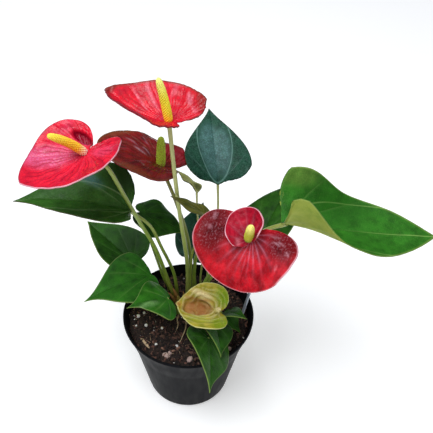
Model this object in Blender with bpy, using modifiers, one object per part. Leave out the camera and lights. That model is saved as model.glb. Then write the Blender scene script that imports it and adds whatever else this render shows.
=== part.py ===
"""Potted flamingo flower: pot, soil, crown, label, stems, leaves, spathes and spadices as separate solids."""
import math

import bmesh
import bpy
import numpy as np

MM = 0.001
GAP = 0.3            # mm between two pieces that meet
LEAF_SHEET = 0.8     # mm, thickness of a leaf blade
SPATHE_SHEET = 1.0   # mm, thickness of a spathe
POT_SEGMENTS = 36
STEM_FOOT_Z = 62.0   # mm, lowest point of a stem in the soil
SOIL_TOP_Z = 75.0    # mm, middle level of the soil surface
TUBE_SIDES = 6

# Outline and bends of one blade, in mm and degrees; a blade's row names only what differs.
# heading, pitch and roll turn the blade; x, y, z place the point where the stem meets it.
BLADE = dict(
    sheet=LEAF_SHEET, length=60, width=50, widest=0.18, lobe=0.2, skew=0.0, sinus=0.03, notch=0.1,
    tip=0.25, tipw=0.1, arch=15, back=0, fold=10, fold_tip=5, curl=0, lift_l=0, lift_r=0,
    twist=0, wave=0.0, waves=1.4, phase=0, pocket=0, heading=0, pitch=0, roll=0, x=0, y=0, z=0,
    steps=5, rings=(0.4, 0.75, 1.0),
)
LARGE = dict(steps=7, rings=(0.3, 0.58, 0.82, 1.0))
FINEST = dict(steps=9, rings=(0.22, 0.42, 0.62, 0.82, 1.0))

SPATHES = {
    "flower_1_spathe": dict(LARGE, sheet=SPATHE_SHEET, length=47.5, width=60, widest=0.17, lobe=0.36,
                            skew=-0.11, tip=0.0, tipw=0.18, arch=-40, back=9, fold=15, fold_tip=25,
                            curl=21, lift_l=-6, lift_r=4, wave=0.5, phase=26,
                            heading=161, pitch=-6.5, roll=8, x=-13, y=10, z=258.5),
    "flower_2_spathe": dict(LARGE, sheet=SPATHE_SHEET, length=48, width=63, widest=0.16, lobe=0.36,
                            skew=0.03, tip=0.07, tipw=0.22, arch=-38, back=7, fold=9, fold_tip=0,
                            curl=29, lift_l=-15, lift_r=15, twist=-5, wave=-0.2, phase=22,
                            heading=231, pitch=-17, roll=12, x=-65, y=-1, z=240),
    "flower_3_spathe": dict(LARGE, sheet=SPATHE_SHEET, length=49.5, width=58, widest=0.2, lobe=0.36,
                            skew=-0.18, tip=0.0, tipw=0.22, arch=12, back=23, fold=25, fold_tip=14,
                            curl=-20, lift_l=6, twist=-5.5, wave=-1.1, phase=-3,
                            heading=194, pitch=34.5, roll=3.5, x=-22.5, y=37, z=202.5),
    "flower_4_spathe": dict(LARGE, sheet=SPATHE_SHEET, length=36.5, width=75, widest=0.155, lobe=0.23,
                            skew=-0.05, tip=0.07, tipw=0.28, arch=24, back=-6.5, fold=16.5, fold_tip=20.5,
                            curl=10, lift_r=5.5, twist=-5, wave=-1.25, phase=-15,
                            heading=248.5, pitch=-35.5, roll=7, x=43, y=-28.5, z=200),
    "flower_4_curled_lobe": dict(FINEST, sheet=SPATHE_SHEET, length=21, width=31, widest=0.18, lobe=0.19,
                                 skew=0.09, tip=0.02, tipw=0.4, arch=-7, back=3, fold=30, fold_tip=8,
                                 curl=38, lift_l=-7, lift_r=4, twist=-7, wave=1.0, phase=-14,
                                 heading=95, pitch=38, roll=-22, x=40, y=-31.9, z=200.3),
    "flower_5_spathe": dict(LARGE, sheet=SPATHE_SHEET, length=32, width=40, widest=0.2, lobe=0.27,
                            skew=0.04, tip=0.14, tipw=0.16, arch=25, back=-6, fold=14, fold_tip=12,
                            curl=20, lift_l=1, lift_r=1, twist=1, wave=1.2, phase=43, pocket=4.5,
                            rings=(0.1, 0.25, 0.45, 0.65, 0.82, 1.0), heading=170, pitch=6, roll=-19,
                            x=22, y=-23, z=116),
}

LEAVES = {
    "leaf_01_blade": dict(LARGE, length=68, width=56, widest=0.15, lobe=0.01, skew=-0.01, tip=0.25,
                          tipw=0.1, arch=17, back=26, fold=30, fold_tip=14, curl=-9, lift_l=2,
                          lift_r=7, twist=-4, wave=1.1, phase=-13, heading=98, pitch=32, roll=7,
                          x=19, y=48, z=180),
    "leaf_02_blade": dict(FINEST, length=107, width=72, widest=-0.01, lobe=0.03, skew=-0.03, tip=0.12,
                          tipw=0.14, arch=-8, back=-9, fold=28, fold_tip=-7, curl=56, lift_l=-14,
                          lift_r=6, twist=25, wave=6.2, phase=38, heading=6, pitch=-13, roll=0,
                          x=65, y=-17, z=202),
    "leaf_03_blade": dict(LARGE, length=69, width=45, lobe=0.2, tip=0.28, tipw=0.11, arch=56, fold=14,
                          fold_tip=4, curl=-4, lift_l=2, twist=2, wave=1.5, phase=-6, heading=70,
                          pitch=33, roll=-19, x=54, y=18, z=153),
    "leaf_04_blade": dict(LARGE, length=84, width=61, widest=0.16, lobe=0.01, skew=0.02, tip=0.28,
                          arch=31, back=29, fold=27, fold_tip=20, curl=8, lift_l=1, lift_r=16,
                          twist=3, wave=-1.3, heading=183, pitch=19, roll=-8, x=-43, y=14, z=179),
    "leaf_05_blade": dict(LARGE, length=54.5, width=51.5, widest=0.15, lobe=0.13, skew=0.01, tip=0.21,
                          tipw=0.14, arch=-5, back=5, fold=10, fold_tip=18, curl=9, lift_l=-2,
                          lift_r=3, twist=1.5, wave=0.3, phase=-10, heading=142.5, pitch=9, roll=9.5,
                          x=-51.5, y=44, z=96),
    "leaf_06_blade": dict(length=37, width=38, widest=0.19, sinus=0.01, notch=0.03, tip=0.24, tipw=0.12,
                          arch=27, fold=2, fold_tip=2, curl=-12, lift_l=-4, lift_r=1, twist=9, wave=2.7,
                          phase=-11, heading=-3, pitch=-15, roll=-1, x=-38, y=39, z=154),
    "leaf_07_blade": dict(LARGE, length=56, width=52, lobe=0.06, skew=0.02, tip=0.33, tipw=0.06,
                          arch=27.5, back=1, fold=9.5, curl=3.5, lift_l=1, lift_r=-1, twist=-6, wave=-0.3,
                          heading=206.5, pitch=6, roll=-1.5, x=-33, y=19.5, z=104),
    "leaf_08_blade": dict(length=36, width=37, widest=0.17, lobe=0.16, tip=0.38, tipw=0.05, arch=38,
                          back=-8, fold=-4, fold_tip=3, curl=-2, lift_l=-7, lift_r=1, twist=2,
                          wave=-0.8, phase=8, heading=217, pitch=35, roll=-9, x=-16, y=-7, z=108),
    "leaf_09_blade": dict(length=47, width=39, widest=0.16, lobe=0.23, skew=-0.01, tip=0.32, tipw=0.06,
                          arch=12, fold=2, fold_tip=8, curl=-6, lift_l=2, lift_r=-6, twist=-15,
                          wave=-1.0, phase=-39, heading=277, pitch=8, roll=-38, x=17, y=-35, z=97),
    "leaf_10_blade": dict(length=32, width=27, widest=0.19, lobe=0.15, tip=0.27, tipw=0.07, arch=19,
                          fold=7, fold_tip=11, lift_r=-1, twist=-6, wave=0.7, phase=-5,
                          heading=285, pitch=10, roll=-31, x=21, y=-22, z=100),
    "leaf_11_blade": dict(length=27, width=20, widest=0.2, lobe=0.1, tip=0.26, tipw=0.07, arch=42,
                          fold=0, fold_tip=11, curl=-1, lift_l=-3, lift_r=-1, twist=11, wave=0.2,
                          phase=-8, heading=-25, pitch=47, roll=-25, x=26, y=-11, z=97),
    "leaf_12_blade": dict(length=41, width=36, lobe=0.23, tip=0.21, tipw=0.12, arch=9, fold=0,
                          fold_tip=2, curl=-12, lift_l=-3, twist=1, heading=68, pitch=64,
                          roll=-5, x=0, y=38, z=117),
    "leaf_13_blade": dict(length=26, width=16.5, lobe=0.22, skew=-0.03, tip=0.28, tipw=0.12, arch=6,
                          fold=17, fold_tip=4, curl=-13, lift_l=-3, twist=-1.5, wave=0.9, phase=11,
                          heading=178, pitch=34, roll=14, x=9.5, y=4, z=189),
    "leaf_14_blade": dict(length=22.5, width=14.5, lobe=0.05, skew=0.05, tip=0.27, tipw=0.11, arch=25,
                          fold=30, curl=-10, lift_l=-1, lift_r=-2, twist=-5.5, wave=1.2, phase=-36,
                          heading=131.5, pitch=31.5, roll=35.5, x=4, y=27.5, z=188),
    "leaf_15_blade": dict(length=20, width=15, widest=0.19, lobe=0.09, tip=0.3, tipw=0.07, arch=24,
                          fold=22, curl=11, lift_l=2, lift_r=3, twist=-3, wave=-2.0, phase=59,
                          heading=-38, pitch=-17, roll=-8, x=29, y=-4, z=88),
}

# One row a stem: the blade it carries, its radius, its hole in the soil and the points it passes.
STEMS = {
    "flower_1_stalk": ("flower_1_spathe", 1.7, (-2, 21), [(-2.5, 19, 123), (-7, 12, 178), (-10, 7, 222)]),
    "flower_2_stalk": ("flower_2_spathe", 1.6, (-12, 17),
                       [(-17, 17, 99), (-26, 15, 139), (-36, 10, 172), (-44.5, 5, 201), (-53, 1, 228)]),
    "flower_3_stalk": ("flower_3_spathe", 1.6, (-2, 28),
                       [(0, 25, 117), (-2, 26, 139), (-6, 27, 158), (-13, 31, 180)]),
    "flower_4_stalk": ("flower_4_spathe", 1.5, (5, 20), [(3, 20, 94), (6, 14, 139), (22, 4, 169)]),
    "flower_5_stalk": ("flower_5_spathe", 1.5, (0, 9), [(9, 1, 90), (18.5, -13.5, 101)]),
    "leaf_01_stem": ("leaf_01_blade", 1.0, (15, 22), [(14, 27, 109), (20, 36, 138), (20, 43, 160)]),
    "leaf_02_stem": ("leaf_02_blade", 1.6, (7, 13), [(13, 12, 110), (26, 8, 136), (41, 0, 161), (51, -9, 186)]),
    "leaf_03_stem": ("leaf_03_blade", 1.1, (11, 17), [(17, 18, 106), (36, 20, 132)]),
    "leaf_04_stem": ("leaf_04_blade", 1.4, (-11, 22), [(-13.5, 22, 106), (-22, 18.5, 138), (-29, 15, 163)]),
    "leaf_05_stem": ("leaf_05_blade", 1.1, (-18, 14), [(-26, 24, 86), (-39, 38, 88.5)]),
    "leaf_06_stem": ("leaf_06_blade", 1.1, (-19, 30), [(-24, 32, 92), (-32, 36, 122), (-37, 39, 142)]),
    "leaf_07_stem": ("leaf_07_blade", 1.1, (-15, 9), [(-20, 12, 88), (-27, 17, 95)]),
    "leaf_08_stem": ("leaf_08_blade", 1.0, (-9, 4), [(-12, 1, 90)]),
    "leaf_09_stem": ("leaf_09_blade", 1.1, (-2, 2), [(3, -7, 84), (9, -24, 88)]),
    "leaf_10_stem": ("leaf_10_blade", 0.9, (5, 3), [(10, -4, 86), (16, -14, 94)]),
    "leaf_11_stem": ("leaf_11_blade", 0.9, (11, 7), [(16, 2, 84), (26, -11, 89)]),
    "leaf_15_stem": ("leaf_15_blade", 0.8, (16, 8), [(20, 6, 81), (25, 1, 85)]),
    "leaf_12_stem": ("leaf_12_blade", 1.1, (4, 28), [(3, 32, 90), (2, 39, 104)]),
    "leaf_13_stem": ("leaf_13_blade", 0.9, (0.5, 15), [(0.5, 14.5, 100), (1.5, 12, 135), (6, 6, 165)]),
    "leaf_14_stem": ("leaf_14_blade", 0.8, (10, 26), [(8, 27, 92), (9, 28, 120), (5.5, 30, 150), (4.5, 28, 172)]),
}

# One row a spadix: the spathe it stands on, the way it points and its length and radius.
SPADICES = {
    "flower_1_spadix": ("flower_1_spathe", (-6, 1.5, 29.5), 28, 2.6),
    "flower_2_spadix": ("flower_2_spathe", (-18, -10, 19), 26.5, 2.7),
    "flower_3_spadix": ("flower_3_spathe", (0.5, 5, 24.5), 20.5, 3.1),
    "flower_4_spadix": ("flower_4_curled_lobe", (0.3, -6.6, 16.5), 17.5, 2.8),
    "flower_5_spadix": ("flower_5_spathe", (2, -5, 8), 7, 1.8),
}

COLOURS = {
    "pot": ("#2E2F31", 0.5), "soil": ("#1C1512", 0.95), "crown": ("#8A6A2C", 0.7), "label": ("#C9D6E4", 0.35),
    "stem": ("#8FA84A", 0.45), "leaf": ("#2A7A22", 0.35), "leaf_dark": ("#17502A", 0.35),
    "leaf_olive": ("#66651F", 0.4), "red": ("#E8263C", 0.25), "deep_red": ("#C4202F", 0.25),
    "crimson": ("#C01038", 0.3), "maroon": ("#8A1F25", 0.3), "aged": ("#B9B53A", 0.45),
    "yellow": ("#F7E01E", 0.55), "orange_yellow": ("#F5B81C", 0.55), "green": ("#7EA01E", 0.6),
    "brown": ("#8C5A2C", 0.8),
}
FINISH_OF = {
    "flower_1_spathe": "red", "flower_2_spathe": "red", "flower_3_spathe": "maroon",
    "flower_4_spathe": "deep_red", "flower_4_curled_lobe": "crimson", "flower_5_spathe": "aged",
    "flower_1_spadix": "yellow", "flower_2_spadix": "orange_yellow", "flower_3_spadix": "green",
    "flower_4_spadix": "yellow", "flower_5_spadix": "brown", "leaf_02_blade": "leaf",
    "leaf_07_blade": "leaf", "leaf_08_blade": "leaf", "leaf_13_blade": "leaf_olive",
    "leaf_14_blade": "leaf_olive",
}


def srgb(code):
    """Linear colour of a hex code."""
    out = []
    for i in (1, 3, 5):
        v = int(code[i:i + 2], 16) / 255
        out.append(v / 12.92 if v <= 0.04045 else ((v + 0.055) / 1.055) ** 2.4)
    return (*out, 1.0)


def finish(name):
    """Material of one named finish, made once."""
    found = bpy.data.materials.get(name)
    if found:
        return found
    code, rough = COLOURS[name]
    made = bpy.data.materials.new(name)
    made.use_nodes = True
    made.diffuse_color = srgb(code)
    shader = made.node_tree.nodes["Principled BSDF"]
    shader.inputs["Base Color"].default_value = srgb(code)
    shader.inputs["Roughness"].default_value = rough
    return made


def add_node(name, verts, faces, colour, where):
    """Adds a mesh object of points in mm."""
    mesh = bpy.data.meshes.new(name)
    mesh.from_pydata([tuple(float(c) * MM for c in v) for v in verts], [], faces)
    mesh.validate()
    obj = bpy.data.objects.new(name, mesh)
    where.objects.link(obj)
    if colour:
        mesh.materials.append(finish(colour))
    return obj


def bezier(points, count):
    """Points of a cubic curve."""
    t = np.linspace(0, 1, count + 1)[:, None]
    p = [np.array(q, float) for q in points]
    return (1 - t) ** 3 * p[0] + 3 * (1 - t) ** 2 * t * p[1] + 3 * (1 - t) * t * t * p[2] + t ** 3 * p[3]


def half_outline(s, side):
    """Flat outline of one half of a blade, from the sinus round the lobe to the tip."""
    length, half = s["length"], s["width"] / 2
    wide = s["widest"] * length
    lobe = max(s["lobe"] + side * s["skew"], 0.0) * length
    sinus = s["sinus"] * length
    back = bezier([(-sinus, 0), (-sinus - 1.75 * max(lobe - sinus, 0), s["notch"] * s["width"]),
                   (-1.1 * lobe + 0.25 * wide, half), (wide, half)], s["steps"])
    front = bezier([(wide, half), (wide + 0.42 * (length - wide), half),
                    (length - s["tip"] * length, s["tipw"] * s["width"]), (length, 0)], s["steps"])
    return np.vstack([back, front[1:]]) * [1, side]


def ease(t):
    """Smooth step of t between 0 and 1."""
    t = np.clip(t, 0, 1)
    return t * t * (3 - 2 * t)


def bend(s, flat):
    """Folds, curls, waves, arches and twists flat points of a blade."""
    length, half = s["length"], s["width"] / 2
    x, y = flat[:, 0], flat[:, 1]
    across, side = np.abs(y), np.where(y >= 0, 1.0, -1.0)
    lobe = s["lobe"] * length
    along = ease((x + lobe) / (0.65 * length + lobe))
    lift = np.where(side > 0, s["lift_l"], s["lift_r"])
    fold = np.radians((s["fold"] + lift) * (1 - along) + s["fold_tip"] * along)
    curl = math.radians(s["curl"] + 0.05)
    q = across / half
    radius = half / curl
    level = radius * (np.sin(fold + curl * q) - np.sin(fold)) * side
    rise = radius * (np.cos(fold) - np.cos(fold + curl * q))
    turn = 2 * math.pi * s["waves"] * x / length + math.radians(s["phase"]) + np.where(side > 0, 0, 1.9)
    rise = rise + s["wave"] * np.minimum(q, 1.3) ** 2 * np.sin(turn)
    off = ((x - 0.52 * length) / (0.32 * length)) ** 2 + (y / (0.2 * s["width"])) ** 2
    rise = rise - s["pocket"] * np.exp(-off ** 2)
    reach = max(lobe, 1)
    line = np.linspace(-1.2 * reach, length, 200)
    slope = np.where(line >= 0, -math.radians(s["arch"]) * line / length, math.radians(s["back"]) * line / reach)
    step = np.gradient(line)
    run, fall = np.cumsum(np.cos(slope) * step), np.cumsum(np.sin(slope) * step)
    run, fall = run - np.interp(0, line, run), fall - np.interp(0, line, fall)
    px, pz, lean = np.interp(x, line, run), np.interp(x, line, fall), np.interp(x, line, slope)
    twist = math.radians(s["twist"]) * np.clip(x / length, -0.3, 1)
    out = level * np.cos(twist) - rise * np.sin(twist)
    up = level * np.sin(twist) + rise * np.cos(twist)
    return np.stack([px - np.sin(lean) * up, out, pz + np.cos(lean) * up], -1)


def turn_of(s):
    """Rotation of a blade: roll about its midrib, then pitch, then heading."""
    h, p, r = (math.radians(s[k]) for k in ("heading", "pitch", "roll"))
    about_z = np.array([[math.cos(h), -math.sin(h), 0], [math.sin(h), math.cos(h), 0], [0, 0, 1]])
    about_y = np.array([[math.cos(p), 0, -math.sin(p)], [0, 1, 0], [math.sin(p), 0, math.cos(p)]])
    about_x = np.array([[1, 0, 0], [0, math.cos(r), -math.sin(r)], [0, math.sin(r), math.cos(r)]])
    return about_z @ about_y @ about_x


def seat(s, way, radius):
    """Distance along a direction at which a round end of this radius clears the blade by the gap."""
    ticks = np.linspace(-1.8 * radius, 1.8 * radius, 15)
    flat = np.array([(a, b) for a in ticks for b in ticks])
    back = -(s["sinus"] + 0.005) * s["length"]
    flat = flat[(flat[:, 0] > back) | (np.abs(flat[:, 1]) > 0.6 * (back - flat[:, 0]))]
    skin = bend(s, flat) @ turn_of(s).T
    height = skin @ way
    off_axis = np.linalg.norm(skin - np.outer(height, way), axis=1)
    reach = float(height[off_axis < radius + 0.1].max())
    steep = max(0.35, abs(float(turn_of(s)[:, 2] @ way)))
    return reach + s["sheet"] / 2 / steep + GAP + 0.12


def blade(name, row, colour, where):
    """Adds one blade: a fan of triangles from the stem's point, bent, turned and given a thickness."""
    s = dict(BLADE, **row)
    left, right = half_outline(s, 1), half_outline(s, -1)
    rim = np.vstack([left, right[-2:0:-1]])
    flat = [np.zeros((1, 2))] + [rim * f for f in s["rings"]]
    verts = bend(s, np.vstack(flat)) @ turn_of(s).T + np.array([s["x"], s["y"], s["z"]])
    n = len(rim)
    faces = [(0, 1 + (i + 1) % n, 1 + i) for i in range(n)]
    for k in range(len(s["rings"]) - 1):
        a, b = 1 + k * n, 1 + (k + 1) * n
        for i in range(n):
            j = (i + 1) % n
            faces += [(a + i, a + j, b + j), (a + i, b + j, b + i)]
    obj = add_node(name, verts, faces, colour, where)
    solid = obj.modifiers.new("Thickness", "SOLIDIFY")
    solid.thickness = s["sheet"] * MM
    solid.offset = 0
    solid.use_even_offset = False
    return obj


def curve_through(points, spacing):
    """Smooth line through points, sampled about every spacing mm."""
    p = np.array(points, float)
    p = np.vstack([2 * p[0] - p[1], p, 2 * p[-1] - p[-2]])
    out = []
    for i in range(1, len(p) - 2):
        a, b, c, d = p[i - 1:i + 3]
        n = max(1, round(float(np.linalg.norm(c - b)) / spacing))
        for t in np.arange(n) / n:
            out.append(0.5 * (2 * b + (c - a) * t + (2 * a - 5 * b + 4 * c - d) * t * t
                              + (3 * b - a - 3 * c + d) * t ** 3))
    out.append(p[-2])
    return np.array(out)


def swept(name, path, radii, sides, colour, where, relief=0.0):
    """Adds a round bar along a path; relief raises every other point of its skin."""
    tangents = np.gradient(path, axis=0)
    tangents /= np.linalg.norm(tangents, axis=1)[:, None]
    side = np.cross(tangents[0], [0.31, 0.95, 0.05])
    verts, faces = [], []
    for i, (p, t) in enumerate(zip(path, tangents)):
        side = side - t * float(side @ t)
        side /= np.linalg.norm(side)
        other = np.cross(t, side)
        for k in range(sides):
            a = 2 * math.pi * k / sides
            r = radii[i] * (1 + relief * (1 if (i + k) % 2 else -1))
            verts.append(p + r * (math.cos(a) * side + math.sin(a) * other))
    for i in range(len(path) - 1):
        for k in range(sides):
            a, b = i * sides + k, i * sides + (k + 1) % sides
            faces.append((a, b, b + sides, a + sides))
    last = (len(path) - 1) * sides
    faces.append(tuple(range(sides - 1, -1, -1)))
    faces.append(tuple(range(last, last + sides)))
    return add_node(name, verts, faces, colour, where)


def revolved(name, profile, colour, where, lift=None):
    """Adds a solid turned about the pot's axis from a profile that starts and ends on that axis."""
    inner = profile[1:-1]
    verts = [(0, 0, profile[0][1])]
    for r, z in inner:
        for k in range(POT_SEGMENTS):
            a = 2 * math.pi * k / POT_SEGMENTS
            verts.append((r * math.cos(a), r * math.sin(a), z))
    verts.append((0, 0, profile[-1][1]))
    end = len(verts) - 1
    faces = []
    for k in range(POT_SEGMENTS):
        j = (k + 1) % POT_SEGMENTS
        faces.append((0, 1 + j, 1 + k))
        for i in range(len(inner) - 1):
            a, b = 1 + i * POT_SEGMENTS, 1 + (i + 1) * POT_SEGMENTS
            faces.append((a + k, a + j, b + j, b + k))
        a = 1 + (len(inner) - 1) * POT_SEGMENTS
        faces.append((a + k, a + j, end))
    if lift:
        verts = [(x, y, z + lift(x, y, z)) for x, y, z in verts]
    return add_node(name, verts, faces, colour, where)


def cutter(name, x, y, low, high, radius, sides, where):
    """Adds an upright round cutter."""
    ring = [(x + radius * math.cos(2 * math.pi * (k + 0.5) / sides),
             y + radius * math.sin(2 * math.pi * (k + 0.5) / sides)) for k in range(sides)]
    verts = [(a, b, low) for a, b in ring] + [(a, b, high) for a, b in ring]
    faces = [tuple(range(sides - 1, -1, -1)), tuple(range(sides, 2 * sides))]
    faces += [(k, (k + 1) % sides, sides + (k + 1) % sides, sides + k) for k in range(sides)]
    return add_node(name, verts, faces, None, where)


def cut(target, tool):
    """Cuts a tool's shape out of a target."""
    step = target.modifiers.new(tool.name, "BOOLEAN")
    step.operation = "DIFFERENCE"
    step.solver = "EXACT"
    step.object = tool
    tool.hide_render = True
    tool.display_type = "WIRE"


def soil_bumps(x, y, z):
    """Height of the soil's crumbs and of the low mound round the crown."""
    if z < SOIL_TOP_Z - 1.5:
        return 0.0
    mound = 2.2 * math.exp(-((x + 2) ** 2 + (y - 14) ** 2) / 300)
    crumbs = 0.55 * math.sin(0.61 * x + 1.3) * math.cos(0.53 * y) + 0.45 * math.sin(0.37 * y - 0.29 * x)
    fade = 1 - ease(np.array([(math.hypot(x, y) - 40) / 8]))[0] * 0.6
    return float(fade * (mound + crumbs))


def box(name, centre, size, axes, colour, where):
    """Adds a box; axes are its three unit directions."""
    verts = []
    for sx in (-0.5, 0.5):
        for sy in (-0.5, 0.5):
            for sz in (-0.5, 0.5):
                verts.append(np.array(centre) + sx * size[0] * axes[0] + sy * size[1] * axes[1]
                             + sz * size[2] * axes[2])
    faces = [(0, 1, 3, 2), (4, 6, 7, 5), (0, 4, 5, 1), (2, 3, 7, 6), (0, 2, 6, 4), (1, 5, 7, 3)]
    return add_node(name, verts, faces, colour, where)


def face_outward(obj):
    """Turns a closed mesh's faces to point out."""
    mesh = bmesh.new()
    mesh.from_mesh(obj.data)
    bmesh.ops.recalc_face_normals(mesh, faces=mesh.faces)
    mesh.to_mesh(obj.data)
    mesh.free()


def main():
    """Builds every piece."""
    for obj in list(bpy.data.objects):
        bpy.data.objects.remove(obj, do_unlink=True)
    parts = bpy.data.collections.new("potted_flamingo_flower")
    tools = bpy.data.collections.new("cutters")
    for group in (parts, tools):
        bpy.context.scene.collection.children.link(group)

    pot_profile = [(0, 0), (33.4, 0), (35.1, 1.7), (45.3, 58.3), (46.2, 60.2), (51.3, 81.6), (52.4, 82.4),
                   (52.5, 84.2), (51.9, 85), (51.0, 85), (50.4, 84.2), (49.7, 81.2), (44.7, 60.6),
                   (43.9, 58.6), (33.9, 2.6), (0, 2.6)]
    pot = revolved("pot", pot_profile, "pot", parts)
    face_outward(pot)
    for k in range(6):
        a = math.radians(60 * k + 30)
        cut(pot, cutter(f"drain_{k}", 24 * math.cos(a), 24 * math.sin(a), -2, 5, 3.5, 12, tools))

    soil_profile = [(0, 2.9), (33.4, 2.9), (43.4, 58.4), (44.3, 60.6), (47.5, 74.2), (47.0, SOIL_TOP_Z),
                    (41, SOIL_TOP_Z), (34, SOIL_TOP_Z), (27, SOIL_TOP_Z), (20, SOIL_TOP_Z),
                    (12, SOIL_TOP_Z), (0, SOIL_TOP_Z)]
    soil = revolved("soil", soil_profile, "soil", parts, lift=soil_bumps)
    face_outward(soil)

    specs = {**SPATHES, **LEAVES}
    for name, row in specs.items():
        blade(name, row, FINISH_OF.get(name, "leaf_dark"), parts)

    for name, (carried, radius, foot, passes) in STEMS.items():
        s = dict(BLADE, **specs[carried])
        joint = np.array([s["x"], s["y"], s["z"]], float)
        away = np.array(passes[-1], float) - joint
        away /= np.linalg.norm(away)
        end = joint + away * seat(s, away, 0.82 * radius)
        points = [(*foot, STEM_FOOT_Z), (*foot, 70), (*foot, 79)] + passes + [tuple(end)]
        path = curve_through(points, 9.0)
        radii = [radius * (1.0 - 0.18 * i / (len(path) - 1)) for i in range(len(path))]
        face_outward(swept(name, path, radii, TUBE_SIDES, "stem", parts))
        cut(soil, cutter(f"hole_{name}", *foot, STEM_FOOT_Z - GAP, 90, radius + GAP + 0.2, 8, tools))

    for name, (carrier, way, length, radius) in SPADICES.items():
        s = dict(BLADE, **specs[carrier])
        way = np.array(way, float) / np.linalg.norm(way)
        start = np.array([s["x"], s["y"], s["z"]]) + way * seat(s, way, radius)
        count = max(5, round(length / 1.5))
        t = np.linspace(0, 1, count + 1)
        shape = np.interp(t, [0, 0.08, 0.3, 0.75, 0.93, 1.0], [0.78, 1.0, 1.0, 0.85, 0.62, 0.3])
        path = start + np.outer(t * length, way)
        face_outward(swept(name, path, radius * shape, 12, FINISH_OF[name], parts, relief=0.05))

    crown_path = curve_through([(-6.5, 11.3, 66), (-6.5, 11.3, 76), (-8, 10.6, 84), (-9.5, 10, 91)], 4.0)
    crown_size = np.interp(np.linspace(0, 1, len(crown_path)), [0, 0.45, 0.75, 1.0], [3.0, 3.2, 2.5, 1.0])
    face_outward(swept("crown", crown_path, crown_size, 8, "crown", parts, relief=0.08))
    cut(soil, cutter("hole_crown", -6.5, 11.3, 66 - GAP, 90, 4.2, 12, tools))

    low, high = np.array([41.5, 6.5, 62.0]), np.array([55.3, 15.0, 136.0])
    along = (high - low) / np.linalg.norm(high - low)
    edge = np.array([0.05, -0.72, 0.69])
    edge = edge - along * float(edge @ along)
    edge /= np.linalg.norm(edge)
    flat = np.cross(along, edge)
    centre, reach = (low + high) / 2, float(np.linalg.norm(high - low))
    face_outward(box("plant_label", centre, (reach, 9.0, 1.0), (along, edge, flat), "label", parts))
    slot = box("slot_label", low + along * 12, (25.2, 9.7, 1.7), (along, edge, flat), None, tools)
    face_outward(slot)
    cut(soil, slot)


main()
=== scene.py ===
"""Potted flamingo flower: living skins, florets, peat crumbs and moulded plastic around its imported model."""

import logging
import math
from dataclasses import dataclass, replace
from enum import Enum

import bmesh
import bpy
import numpy as np
from bpy.types import Material, Mesh, Node, NodeSocket, NodeTree, Object
from mathutils import Matrix, Vector, noise


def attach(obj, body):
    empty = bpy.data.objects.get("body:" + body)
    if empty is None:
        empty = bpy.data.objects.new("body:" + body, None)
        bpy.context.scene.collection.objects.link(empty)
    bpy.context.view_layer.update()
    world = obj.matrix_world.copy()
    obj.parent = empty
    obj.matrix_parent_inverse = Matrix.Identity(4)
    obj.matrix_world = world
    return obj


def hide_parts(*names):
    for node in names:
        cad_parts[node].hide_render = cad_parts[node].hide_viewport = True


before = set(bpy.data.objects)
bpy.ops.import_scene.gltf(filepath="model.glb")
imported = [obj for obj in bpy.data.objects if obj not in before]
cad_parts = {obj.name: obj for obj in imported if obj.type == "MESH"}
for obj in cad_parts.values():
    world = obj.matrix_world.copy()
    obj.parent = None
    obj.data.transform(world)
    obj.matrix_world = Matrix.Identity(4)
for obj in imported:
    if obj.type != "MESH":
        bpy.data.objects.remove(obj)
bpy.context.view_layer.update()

LOG = logging.getLogger("flamingo_flower")
MM = 0.001
BODY = "root"

# Sockets of the Mix node when it mixes colours
MIX_SHARE, MIX_A, MIX_B, MIX_OUT = 0, 6, 7, 2
# Inputs of the Map Range node, in the order in which the rows of numbers below give them
RANGE = ("Value", "From Min", "From Max", "To Min", "To Max")

# Thickness of a leaf blade and of a spathe, in mm
LEAF_SHEET = 0.7
SPATHE_SHEET = 0.9

# One unit of a blade's flat map is 100 mm
MAP_UNIT = 100.0
OUTLINE_STEPS = 40
SPINE_STEPS = 200

# Bends that every blade shares with the part's source: share of the length over which the fold eases
# into that of the tip, least curl in degrees, lag between the waves of the two halves in radians,
# share of the half width where the waves stop growing, and middle and half sizes of the pocket as
# shares of the blade
FOLD_REACH = 0.65
LEAST_CURL = 0.05
WAVE_LAG = 1.9
WAVE_REACH = 1.3
POCKET_AT, POCKET_LONG, POCKET_WIDE = 0.52, 0.32, 0.2

# Angles off the midrib, in radians, from which a point counts as a lobe's and over which it does so fully
LOBE_FROM, LOBE_OVER = 1.0, 0.8
# How much closer together the rings of a blade's points lie toward its rim
RING_SPREAD = 1.15
# Share of a vein that the spokes beside it keep, and share of the midrib lost toward the tip
VEIN_SHOULDER = 0.35
MIDRIB_FADE = 0.35
# Slope of the side veins, and shift in radians of the ripples from one cell to the next
SIDE_VEIN_SLANT = 0.75
RIPPLE_SHIFT = 2.1
# Size in mm of the lumps that a blade swells in, with the share of each, and of the drift of its folds
SWELL_LUMPS = ((14.0, 1.0), (4.5, 0.3))
DRIFT_SIZE = 9.0
# Factor on the depth of a pleat's furrows, whose painted shade is full where the product reaches 1
FURROW_SHARP = 1.3

# Turn from one floret to the next
GOLDEN_ANGLE = math.radians(137.508)
SPADIX_SIDES = 24
# Radius of a spadix along its length, as a share of its thickest
SPADIX_TAPER = ((0, 0.72), (0.08, 0.94), (0.3, 0.97), (0.75, 0.83), (0.9, 0.66), (0.96, 0.5), (0.99, 0.3),
                (1.0, 0.05))

# Heights that each stem passes upright in its hole and just above it, in mm
STEM_FOOT_HEIGHTS = (62.0, 70.0, 79.0)
SOIL_TOP_Z = 75.0


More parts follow.
